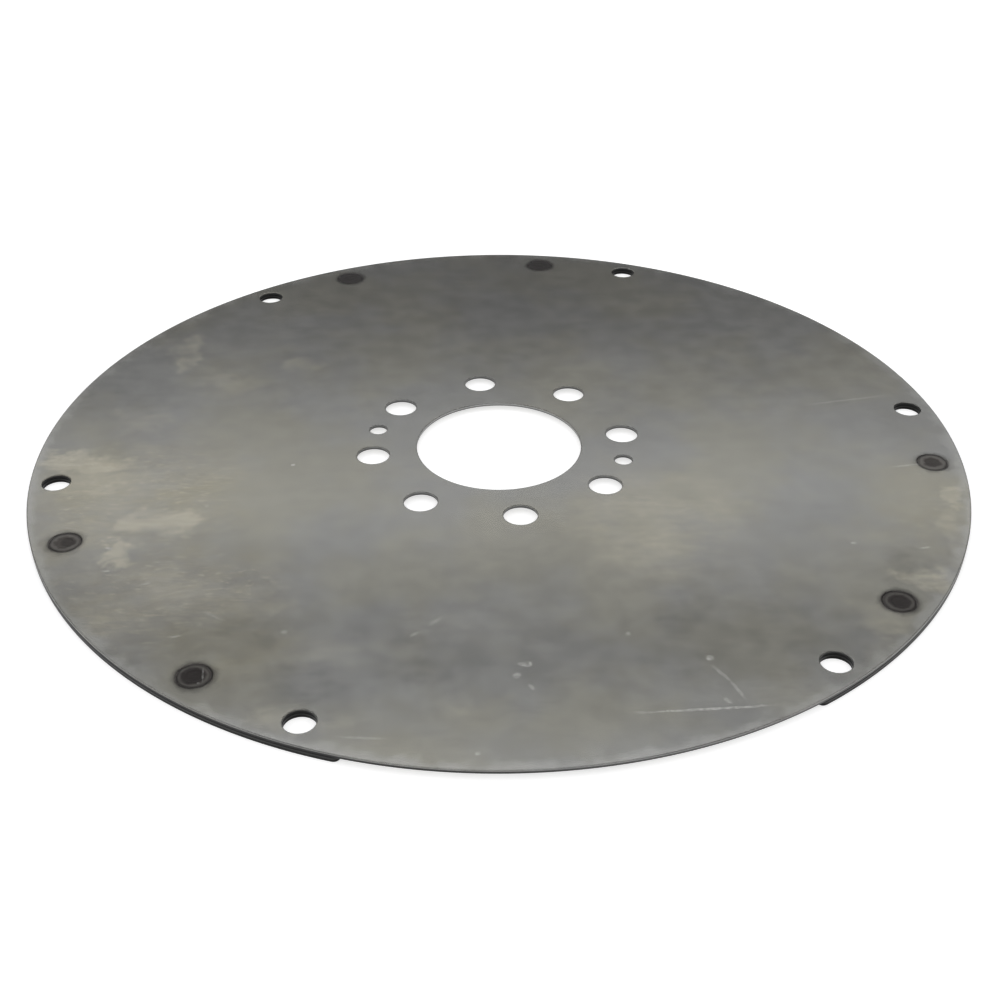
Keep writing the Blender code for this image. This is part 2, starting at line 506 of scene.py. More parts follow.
class SheetTrees:
    """The geometry groups from which every sheet here is made."""

    MARK_PLUGS: ClassVar[tuple[Plug, ...]] = (
        Plug("Doublers", Kind.WHOLE), Plug("First Middle"), Plug("Pitch"), Plug("Height"), Plug("Facing"),
        *ElectrodeMark.PLUGS,
    )

    def __init__(self, section: ShearedSection, mark: ElectrodeMark) -> None:
        """Draw all the groups.

        Args:
            section: the sheared edge of every sheet.
            mark: the electrode mark on every sheet.
        """
        self.section = section
        self.mark = mark
        self.ring_of_holes = self.draw_ring_of_holes()
        self.bent_strip = self.draw_bent_strip()
        self.electrode_marks = self.draw_electrode_marks()
        self.sheared_sheet = self.draw_sheared_sheet()

    @staticmethod
    def start(name: str, takes: Iterable[Plug]) -> Group:
        """Start a geometry group."""
        return Group(name, "GeometryNodeTree", takes, [Plug("Shape", Kind.SHAPE)])

    @staticmethod
    def polar(graph: Graph, radius: Any, angle: Any) -> bpy.types.NodeSocket:
        """Turn a radius and an angle into a point on the plane.

        Args:
            graph: where it is worked out.
            radius: the distance from the axis.
            angle: the direction from +X.

        Returns:
            The point's socket.
        """
        across = graph.times(radius, graph.math("COSINE", angle))
        along = graph.times(radius, graph.math("SINE", angle))
        return graph.point(across, along)

    def draw_ring_of_holes(self) -> bpy.types.NodeTree:
        """Draw the group that spreads round outlines on a circle, run the way that a hole needs.

        Returns:
            The group.
        """
        graph = self.start("Ring of Holes", HoleCircle.PLUGS)
        given = graph.given
        index = graph.first("GeometryNodeInputIndex")
        angle = graph.slope(index, given["Pitch"], given["First Angle"])
        places = graph.first(
            "GeometryNodePoints",
            {"Count": given["Count"], "Position": self.polar(graph, given["Circle Radius"], angle)},
        )
        outline = graph.first(
            "GeometryNodeCurvePrimitiveCircle", {"Resolution": given["Steps"], "Radius": given["Radius"]}
        )
        hole = graph.first("GeometryNodeReverseCurve", {"Curve": outline})
        spread = graph.first(
            "GeometryNodeInstanceOnPoints",
            {"Points": places, "Instance": hole, "Rotation": graph.point(0.0, 0.0, angle)},
        )
        real = graph.first("GeometryNodeRealizeInstances", {0: spread})
        return graph.finish({"Shape": real})

    def draw_bent_strip(self) -> bpy.types.NodeTree:
        """Draw the group that bends the outline of a round-cornered strip about the axis.

        Returns:
            The group.
        """
        takes = [
            Plug("Outer Radius"),
            Plug("Width"),
            Plug("Half Angle"),
            Plug("Corner Radius"),
            Plug("Middle"),
            Plug("Step"),
        ]
        graph = self.start("Bent Strip", takes)
        given = graph.given
        middle_radius = graph.minus(given["Outer Radius"], graph.times(given["Width"], 0.5))
        length = graph.times(graph.times(middle_radius, given["Half Angle"]), 2.0)
        blank = graph.first(
            "GeometryNodeCurvePrimitiveQuadrilateral",
            {"Width": length, "Height": given["Width"]},
            mode="RECTANGLE",
        )
        rounded = graph.first(
            "GeometryNodeFilletCurve",
            {"Curve": blank, "Count": CORNER_STEPS, "Radius": given["Corner Radius"]},
            mode="POLY",
        )
        stepped = graph.first(
            "GeometryNodeResampleCurve", {"Curve": rounded, "Length": given["Step"]}, mode="LENGTH"
        )
        flat = graph.parts(graph.first("GeometryNodeInputPosition"))
        angle = graph.minus(given["Middle"], graph.over(flat["X"], middle_radius))
        radius = graph.plus(middle_radius, flat["Y"])
        bent = graph.first(
            "GeometryNodeSetPosition", {"Geometry": stepped, "Position": self.polar(graph, radius, angle)}
        )
        return graph.finish({"Shape": bent})

    def draw_electrode_marks(self) -> bpy.types.NodeTree:
        """Draw the group that lays round marks on a face, a pair for each doubler under or over it.

        Returns:
            The group.
        """
        graph = self.start("Electrode Marks", self.MARK_PLUGS)
        given = graph.given

        rings = graph.plus(given["Steps Out"], 1.0)
        spokes = graph.plus(given["Steps Round"], 1.0)
        grid = graph.first(
            "GeometryNodeMeshGrid",
            {"Size X": 1.0, "Size Y": 1.0, "Vertices X": rings, "Vertices Y": spokes},
        )
        position = graph.first("GeometryNodeInputPosition")
        flat = graph.parts(position)
        turn = graph.times(graph.plus(flat["Y"], 0.5), FULL_TURN)
        marked = graph.first(
            "GeometryNodeStoreNamedAttribute",
            {"Geometry": grid, "Name": "share", "Value": graph.plus(flat["X"], 0.5)},
            data_type="FLOAT", domain="POINT",
        )
        share = graph.first("GeometryNodeInputNamedAttribute", {"Name": "share"}, data_type="FLOAT")
        radius = graph.times(share, given["Opening Radius"])
        rounded = graph.first(
            "GeometryNodeSetPosition", {"Geometry": marked, "Position": self.polar(graph, radius, turn)}
        )
        blank = graph.first("GeometryNodeMergeByDistance", {"Geometry": rounded, "Distance": SEAM_DISTANCE})

        index = graph.first("GeometryNodeInputIndex")
        pair = graph.math("FLOOR", graph.over(index, 2.0))
        hand = graph.slope(graph.math("MODULO", index, 2.0), 2.0, -1.0)
        middle = graph.slope(pair, given["Pitch"], given["First Middle"])
        angle = graph.slope(hand, given["From Middle"], middle)
        count = graph.times(given["Doublers"], 2.0)
        places = graph.first(
            "GeometryNodePoints",
            {"Count": count, "Position": self.polar(graph, given["Circle Radius"], angle)},
        )
        spread = graph.first("GeometryNodeInstanceOnPoints", {"Points": places, "Instance": blank})
        real = graph.first("GeometryNodeRealizeInstances", {0: spread})

        pressed = graph.node("ShaderNodeFloatCurve", {"Value": share})
        self.shape_curve(pressed, self.mark.depth_curve)
        crater = graph.fade(share, *self.mark.crater_edge, low=self.mark.land_roughness)
        lumps = graph.noise(
            graph.vector("SCALE", position, scale=1.0 / MILLIMETRE),
            self.mark.lump_size,
            detail=3.0,
            rough=0.6,
        )
        unevenness = graph.times(graph.swing(lumps), crater)
        rough = graph.times(graph.times(unevenness, 2.0), given["Roughness"])
        inside = graph.math("LESS_THAN", share, self.mark.rough_share)
        depth = graph.slope(pressed.outputs[0], given["Depth"], graph.times(rough, inside))
        sunken = graph.times(graph.math("MAXIMUM", depth, 0.0), given["Facing"])
        drop = graph.point(0.0, 0.0, graph.minus(given["Height"], sunken))
        lowered = graph.first("GeometryNodeSetPosition", {"Geometry": real, "Offset": drop})
        under = graph.compare("LESS_THAN", given["Facing"], 0.0)
        facing = graph.first("GeometryNodeFlipFaces", {"Mesh": lowered, "Selection": under})
        return graph.finish({"Shape": facing})

    @staticmethod
    def shape_curve(node: bpy.types.Node, places: Iterable[Place]) -> None:
        """Draw a Float Curve node's curve with straight stretches.

        Args:
            node: the Float Curve node.
            places: its points, from left to right.
        """
        places = list(places)
        curve = node.mapping.curves[0]
        while len(curve.points) < len(places):
            curve.points.new(0.5, 0.5)
        for point, place in zip(curve.points, places):
            point.location = place
            point.handle_type = "VECTOR"
        node.mapping.update()

    def draw_section(self, graph: Group) -> bpy.types.NodeSocket:
        """Draw the sheared edge in section, as outset and depth below the top face.

        Args:
            graph: the group that sweeps it round the outlines.

        Returns:
            The section's curve.
        """
        given = graph.given
        points = []
        for step in range(self.section.roll_steps + 1):
            turn = FULL_TURN / 4.0 * step / self.section.roll_steps
            inward = graph.times(given["Roll Inset"], math.sin(turn) - 1.0)
            points.append(graph.point(inward, graph.times(given["Roll Depth"], 1.0 - math.cos(turn))))
        burnished = graph.times(given["Thickness"], given["Burnish Share"])
        torn = graph.times(given["Tear Step"], -1.0)
        leaning = graph.times(given["Tear Lean"], -1.0)
        points.append(graph.point(0.0, burnished))
        points.append(graph.point(torn, graph.plus(burnished, given["Tear Step"])))
        points.append(graph.point(leaning, graph.minus(given["Thickness"], given["Burr Break"])))
        points.append(graph.point(graph.minus(leaning, given["Burr Break"]), given["Thickness"]))

        chooser = graph.node("GeometryNodeIndexSwitch", data_type="VECTOR")
        while len(chooser.index_switch_items) < len(points):
            chooser.index_switch_items.new()
        graph.feed(chooser.inputs["Index"], graph.first("GeometryNodeInputIndex"))
        for place, point in enumerate(points):
            graph.feed(chooser.inputs[place + 1], point)
        dots = graph.first("GeometryNodePoints", {"Count": len(points), "Position": chooser.outputs[0]})
        return graph.first("GeometryNodePointsToCurves", {"Points": dots})

    def draw_sheared_sheet(self) -> bpy.types.NodeTree:
        """Draw the group that makes a closed sheet from its outlines and the marks on its faces.

        The walls are swept round the outlines. What is then left open above and below, with the
        marks' own rims, bounds the two flat faces.

        Returns:
            The group.
        """
        takes = [
            Plug("Outlines", Kind.SHAPE), Plug("Marks", Kind.SHAPE), Plug("Underside"), Plug("Thickness"),
            *ShearedSection.PLUGS,
        ]
        graph = self.start("Sheared Sheet", takes)
        given = graph.given
        top = graph.plus(given["Underside"], given["Thickness"])
        middle = graph.slope(given["Thickness"], 0.5, given["Underside"])

        upright = graph.first("GeometryNodeSetCurveNormal", {"Curve": given["Outlines"]}, mode="Z_UP")
        swept = graph.first(
            "GeometryNodeCurveToMesh", {"Curve": upright, "Profile Curve": self.draw_section(graph)}
        )
        walls = graph.first(
            "GeometryNodeSetPosition", {"Geometry": swept, "Offset": graph.point(0.0, 0.0, top)}
        )
        height = graph.parts(graph.first("GeometryNodeInputPosition"))["Z"]
        above = graph.compare("GREATER_THAN", height, middle)
        shoulder = graph.minus(top, given["Roll Depth"])
        rolled = graph.compare("GREATER_THAN", height, shoulder)
        below = graph.first("FunctionNodeBooleanMath", {0: above}, operation="NOT")
        facets = graph.first("GeometryNodeInputMeshEdgeNeighbors")
        lone = graph.math("COMPARE", facets, 1.0, 0.1)

        shell = graph.join((walls, given["Marks"]))
        faces = [
            self.draw_face(graph, shell, lone, above, top, "top_face", False),
            self.draw_face(graph, shell, lone, below, given["Underside"], "under_face", True),
        ]
        upper = self.label(graph, given["Marks"], "top_face", above)
        marked = self.label(graph, upper, "under_face", below)
        closed = graph.join((self.label(graph, walls, "rolled_edge", rolled), marked, *faces))
        merged = graph.first("GeometryNodeMergeByDistance", {"Geometry": closed, "Distance": SEAM_DISTANCE})
        return graph.finish({"Shape": merged})

    @staticmethod
    def label(graph: Graph, shape: Any, name: str, value: Any) -> bpy.types.NodeSocket:
        """Mark faces by a named yes or no.

        Args:
            graph: where it is done.
            shape: the mesh.
            name: the mark's name.
            value: whether each face has it.

        Returns:
            The marked mesh.
        """
        return graph.first(
            "GeometryNodeStoreNamedAttribute",
            {"Geometry": shape, "Name": name, "Value": value},
            data_type="BOOLEAN", domain="FACE",
        )

    def draw_face(
        self, graph: Graph, shape: Any, lone: Any, here: Any, height: Any, name: str, flip: bool
    ) -> bpy.types.NodeSocket:
        """Fill the loops that are still open on one side of a sheet.

        Args:
            graph: where it is done.
            shape: the walls and the marks.
            lone: whether an edge has only one face.
            here: whether an edge is on this side.
            height: the level of the face.
            name: the face's mark.
            flip: whether the face looks down.

        Returns:
            The flat face.
        """
        rim = graph.first("FunctionNodeBooleanMath", {0: lone, 1: here}, operation="AND")
        loops = graph.first("GeometryNodeMeshToCurve", {"Mesh": shape, "Selection": rim})
        filled = graph.first("GeometryNodeFillCurve", {"Curve": loops}, mode="TRIANGLES")
        raised = graph.first(
            "GeometryNodeSetPosition", {"Geometry": filled, "Offset": graph.point(0.0, 0.0, height)}
        )
        flat = graph.first("GeometryNodeSetShadeSmooth", {"Geometry": raised, "Shade Smooth": False})
        face = graph.first("GeometryNodeFlipFaces", {"Mesh": flat}) if flip else flat
        return self.label(graph, face, name, True)


class Tone(Enum):
    """What a mark does to the steel. The value is how soft its edge is, and no two may be alike."""

    PALE = 0.50
    # Dark marks are partly dark oil film and partly painted shade.
    DARK = 0.55
    WARM = 0.60
    SOOT = 0.25
    BARE = 0.45


@dataclass(frozen=True)
class Mark:
    """An oval mark on the disc's top, in millimetres from the axis. Its length is turned from +X."""

    where: Place
    half_length: float
    half_width: float
    strength: float
    tone: Tone
    turn: float = WIPING_DIRECTION

    @classmethod
    def scratch(cls, start: Place, end: Place, half_width: float, strength: float) -> "Mark":
        """Make a straight scratch down to bare metal.

        Args:
            start: one end.
            end: the other end.
            half_width: half its width in the middle.
            strength: how bright it is, from 0 to 1.

        Returns:
            The scratch.
        """
        along = Vector(end) - Vector(start)
        middle = (Vector(start) + Vector(end)) / 2.0
        return cls(
            (middle.x, middle.y),
            along.length / 2.0,
            half_width,
            strength,
            Tone.BARE,
            math.atan2(along.y, along.x),
        )

    @classmethod
    def ovals(cls, tone: Tone, *rows: tuple[float, ...]) -> list["Mark"]:
        """Make ovals of one tone from rows of numbers."""
        return [cls((x, y), length, width, strength, tone) for x, y, length, width, strength in rows]

    @classmethod
    def spot(cls, where: Place, radius: float, strength: float, tone: Tone) -> "Mark":
        """Make a round mark."""
        return cls(where, radius, radius, strength, tone)

    def feeds(self, position: Any) -> dict[str, Any]:
        """Name the sizes for the mark's shader group.

        Args:
            position: the point in millimetres, on the plane z = 0.

        Returns:
            The group's inputs and their values.
        """
        cosine, sine = math.cos(self.turn), math.sin(self.turn)
        return {
            "Position": position,
            "Middle At": (*self.where, 0.0),
            "Along At": (cosine / self.half_length, sine / self.half_length, 0.0),
            "Across At": (-sine / self.half_width, cosine / self.half_width, 0.0),
            "Softness": self.tone.value,
            "Strength": self.strength,
        }


class SteelEffects:
    """The shader groups that the finishes share. Positions in them are in millimetres.

    A range or an edge gives the two values between which a mask fades. A stretch is what a position
    is multiplied by along x, y and z, so a small number draws a pattern out.
    """

    CLOUD_RANGE: ClassVar[Place] = (0.30, 0.70)
    WARM_RANGE: ClassVar[Place] = (0.34, 0.66)
    MOTTLE_RANGE: ClassVar[Place] = (0.25, 0.75)
    WARM_SHARE: ClassVar[float] = 0.8
    HAIR_RANGE: ClassVar[Place] = (0.64, 0.78)
    HAIR_STRETCH: ClassVar[Stretch] = (0.03, 1.1, 1.0)
    PIT_SIZE: ClassVar[float] = 0.8
    PATCH_STRETCH: ClassVar[Stretch] = (0.55, 1.0, 1.0)
    STREAK_RANGE: ClassVar[Place] = (0.28, 0.70)
    STREAK_STRETCH: ClassVar[Stretch] = (0.10, 0.26, 1.0)
    THIN_STREAK: ClassVar[float] = 0.6
    FLECK_RANGE: ClassVar[Place] = (0.60, 0.72)
    FLECK_STRETCH: ClassVar[Stretch] = (0.22, 0.70, 1.0)
    GROOVE_EDGE: ClassVar[Place] = (0.20, 0.04)
    LAND_EDGE: ClassVar[Place] = (1.04, 0.92)
    CORE_EDGE: ClassVar[Place] = (0.76, 0.54)
    HEAT_EDGE: ClassVar[Place] = (1.55, 0.90)
    RING_SIZE: ClassVar[float] = 5.0
    RING_WANDER: ClassVar[float] = 0.7
    CORE_SIZE: ClassVar[float] = 2.4
    CORE_WANDER: ClassVar[float] = 0.60
    HEAT_SIZE: ClassVar[float] = 7.0
    HEAT_WANDER: ClassVar[float] = 0.9
    DRAG_STRETCH: ClassVar[Stretch] = (2.6, 2.6, 0.25)
    TEAR_SIZE: ClassVar[float] = 2.5
    TEAR_WANDER: ClassVar[float] = 0.25
    TEAR_EDGE: ClassVar[Place] = (-0.06, 0.06)
    RIM_SHARE: ClassVar[float] = 0.994
    HUB_SHARE: ClassVar[float] = 0.5
    BORE_SHARE: ClassVar[float] = 0.2

    def __init__(self) -> None:
        """Draw all the groups."""
        self.clouds = self.draw_clouds()
        self.grain = self.draw_grain()
        self.mark = self.draw_mark()
        self.film = self.draw_film()
        self.weld_rings = self.draw_weld_rings()
        self.shear = self.draw_shear()

    @staticmethod
    def start(name: str, takes: Iterable[str], gives: Iterable[str]) -> Group:
        """Start a shader group that takes a position and numbers and gives numbers.

        Args:
            name: the group's name.
            takes: its inputs after Position. Those whose names end in At are places.
            gives: its outputs.

        Returns:
            The group.
        """
        plugs = [Plug("Position", Kind.VECTOR)]
        plugs += [Plug(word, Kind.VECTOR if word.endswith("At") else Kind.NUMBER) for word in takes]
        return Group(name, "ShaderNodeTree", plugs, [Plug(word) for word in gives])

    def draw_clouds(self) -> bpy.types.NodeTree:
        """Draw the uneven tone of mill sheet: how light and how warm it is, and its mottling.

        Returns:
            The group.
        """
        graph = self.start(
            "Mill Clouds", ["Cloud Size", "Patch Size", "Seed"], ["Shade", "Warmth", "Mottle"]
        )
        given = graph.given
        position = given["Position"]
        broad = graph.noise(position, given["Cloud Size"], detail=3.0, seed=given["Seed"])
        mottle = graph.noise(position, given["Patch Size"], detail=3.0, seed=graph.plus(given["Seed"], 3.0))
        warm = graph.noise(
            position,
            graph.times(given["Cloud Size"], self.WARM_SHARE),
            detail=3.0,
            rough=0.55,
            seed=graph.plus(given["Seed"], 11.0),
        )
        return graph.finish({
            "Shade": graph.fade(broad, *self.CLOUD_RANGE, low=-1.0, high=1.0),
            "Warmth": graph.fade(warm, *self.WARM_RANGE),
            "Mottle": graph.fade(mottle, *self.MOTTLE_RANGE, low=-1.0, high=1.0),
        })

    def draw_grain(self) -> bpy.types.NodeTree:
        """Draw the fine lines that the mill's rolls leave, the hairlines over them and the pits between.

        Returns:
            The group.
        """
        graph = self.start("Rolling Grain", ["Line Length", "Line Width"], ["Lines", "Hairs", "Pits"])
        given = graph.given
        shares = graph.point(
            graph.over(1.0, given["Line Length"]), graph.over(1.0, given["Line Width"]), 1.0
        )
        lines = graph.noise(graph.vector("MULTIPLY", given["Position"], shares), 1.0, detail=3.0, rough=0.6)
        slanted = graph.first(
            "ShaderNodeVectorRotate",
            {"Vector": given["Position"], "Angle": HAIR_SLANT},
            rotation_type="Z_AXIS",
        )
        hairs = graph.noise(graph.vector("MULTIPLY", slanted, self.HAIR_STRETCH), 1.0, detail=1.0, seed=2.0)
        pits = graph.noise(given["Position"], self.PIT_SIZE, rough=0.6, seed=4.0)
        return graph.finish({
            "Lines": graph.swing(lines),
            "Hairs": graph.fade(hairs, *self.HAIR_RANGE),
            "Pits": graph.swing(pits),
        })

    def draw_mark(self) -> bpy.types.NodeTree:
        """Draw the mask of one placed oval mark.

        Returns:
            The group.
        """
        graph = self.start(
            "Oval Mark", ["Middle At", "Along At", "Across At", "Softness", "Strength"], ["Mask"]
        )
        given = graph.given
        offset = graph.vector("SUBTRACT", given["Position"], given["Middle At"])
        along = graph.vector("DOT_PRODUCT", offset, given["Along At"])
        across = graph.vector("DOT_PRODUCT", offset, given["Across At"])
        reach = graph.math("SQRT", graph.slope(across, across, graph.times(along, along)))
        outside = graph.plus(1.0, given["Softness"])
        inside = graph.minus(1.0, given["Softness"])
        return graph.finish({"Mask": graph.fade(reach, outside, inside, high=given["Strength"])})

    def draw_film(self) -> bpy.types.NodeTree:
        """Draw a dried film: cloudy patches with ragged edges, wiping streaks in them, and fine flecks.

        Returns:
            The group.
        """
        graph = self.start(
            "Dried Film", ["Zone", "Patch Size", "Raggedness", "Contrast", "Seed"], ["Film", "Flecks"]
        )
        given = graph.given
        stretched = graph.vector("MULTIPLY", given["Position"], self.PATCH_STRETCH)
        lumps = graph.swing(
            graph.noise(stretched, given["Patch Size"], detail=4.0, rough=0.62, seed=given["Seed"])
        )
        level = graph.times(given["Zone"], graph.slope(lumps, given["Raggedness"], 1.0))
        cover = graph.math("MULTIPLY_ADD", graph.swing(level), given["Contrast"], 0.5, clamp=True)
        fine = graph.vector("MULTIPLY", given["Position"], self.STREAK_STRETCH)
        streaks = graph.noise(fine, 1.0, detail=4.0, rough=0.65, seed=graph.plus(given["Seed"], 5.0))
        short = graph.vector("MULTIPLY", given["Position"], self.FLECK_STRETCH)
        flecks = graph.fade(
            graph.noise(short, 1.0, rough=0.55, seed=graph.plus(given["Seed"], 9.0)), *self.FLECK_RANGE
        )
        return graph.finish({
            "Film": graph.times(cover, graph.fade(streaks, *self.STREAK_RANGE, low=self.THIN_STREAK)),
            "Flecks": graph.times(cover, flecks),
        })

    def draw_weld_rings(self) -> bpy.types.NodeTree:
        """Draw the colours of the spot welds: scorched groove, land and core, and the heat about them.

        The welds are folded onto one, since they repeat with the doublers and mirror on each.

        Returns:
            The group.
        """
        takes = ["Circle Radius", "First Middle", "Half Pitch", "From Middle", "Groove Radius"]
        graph = self.start("Weld Rings", takes, ["Groove", "Land", "Core", "Heat"])
        given = graph.given
        place = graph.parts(given["Position"])
        flat = graph.point(place["X"], place["Y"])
        direction = graph.minus(graph.math("ARCTAN2", place["Y"], place["X"]), given["First Middle"])
        wrapped = graph.math("WRAP", direction, given["Half Pitch"], graph.times(given["Half Pitch"], -1.0))
        off = graph.minus(graph.math("ABSOLUTE", wrapped), given["From Middle"])
        radius = graph.vector("LENGTH", flat)
        across = graph.minus(graph.times(radius, graph.math("COSINE", off)), given["Circle Radius"])
        along = graph.times(radius, graph.math("SINE", off))
        centred = graph.vector("LENGTH", graph.point(across, along))
        wander = graph.swing(graph.noise(flat, self.RING_SIZE))
        distance = graph.slope(wander, self.RING_WANDER, centred)
        share = graph.over(distance, given["Groove Radius"])
        ring_width = graph.math("ABSOLUTE", graph.minus(share, 1.0))
        smoke = graph.swing(graph.noise(flat, self.CORE_SIZE, detail=3.0, rough=0.6, seed=6.0))
        core_share = graph.slope(smoke, self.CORE_WANDER, share)
        haze = graph.swing(graph.noise(flat, self.HEAT_SIZE, detail=3.0, seed=9.0))
        heat_share = graph.slope(haze, self.HEAT_WANDER, share)
        return graph.finish({
            "Groove": graph.fade(ring_width, *self.GROOVE_EDGE),
            "Land": graph.fade(share, *self.LAND_EDGE),
            "Core": graph.fade(core_share, *self.CORE_EDGE),
            "Heat": graph.fade(heat_share, *self.HEAT_EDGE),
        })

    def draw_shear(self) -> bpy.types.NodeTree:
        """Draw a sheared wall: its upright drag lines, where it is torn, and which wall of the sheet it is.

        Side grows towards +X and sets how much painted light the rim wall gets.

        Returns:
            The group.
        """
        takes = ["Top", "Thickness", "Burnish Share", "Rim Radius", "Side Start", "Side End"]
        graph = self.start("Sheared Wall", takes, ["Lines", "Torn", "Rim", "Hub", "Bore", "Side"])
        given = graph.given
        lines = graph.noise(
            graph.vector("MULTIPLY", given["Position"], self.DRAG_STRETCH),
            1.0,
            detail=3.0,
            rough=0.6,
            solid=True,
        )
        height = graph.parts(given["Position"])["Z"]
        fall = graph.over(graph.minus(given["Top"], height), given["Thickness"])
        wander = graph.swing(graph.noise(given["Position"], self.TEAR_SIZE, seed=3.0, solid=True))
        edge = graph.slope(wander, self.TEAR_WANDER, fall)
        torn = graph.fade(graph.minus(edge, given["Burnish Share"]), *self.TEAR_EDGE)
        flat = graph.vector("MULTIPLY", given["Position"], (1.0, 1.0, 0.0))
        share = graph.over(graph.vector("LENGTH", flat), given["Rim Radius"])
        across = graph.over(graph.parts(flat)["X"], given["Rim Radius"])
        return graph.finish({
            "Lines": graph.swing(lines),
            "Torn": torn,
            "Rim": graph.math("GREATER_THAN", share, self.RIM_SHARE),
            "Hub": graph.math("LESS_THAN", share, self.HUB_SHARE),
            "Bore": graph.math("LESS_THAN", share, self.BORE_SHARE),
            "Side": graph.fade(across, given["Side Start"], given["Side End"]),
        })


@dataclass(frozen=True)
class WeldScars:
    """How the spot welds look on one face."""

    mark: ElectrodeMark
    first_middle: float
    half_pitch: float
    groove: Colour = (0.066, 0.062, 0.058)
    land: Colour = (0.150, 0.143, 0.132)
    core: Colour = (0.082, 0.074, 0.068)
    heat_shade: float = 0.40

    def feeds(self, position: Any) -> dict[str, Any]:
        """Name the sizes for the weld group.

        Args:
            position: the point in millimetres.

        Returns:
            The group's inputs and their values.
        """
        return {
            "Position": position,
            "Circle Radius": self.mark.circle_radius / MILLIMETRE,
            "First Middle": self.first_middle,
            "Half Pitch": self.half_pitch,
            "From Middle": self.mark.from_middle,
            "Groove Radius": self.mark.groove_radius() / MILLIMETRE,
        }


@dataclass(frozen=True)
class FilmLook:
    """How a dried film of one tone lies: its contrast, how ragged it is, and its seed's step."""

    contrast: float
    raggedness: float
    seed_step: float


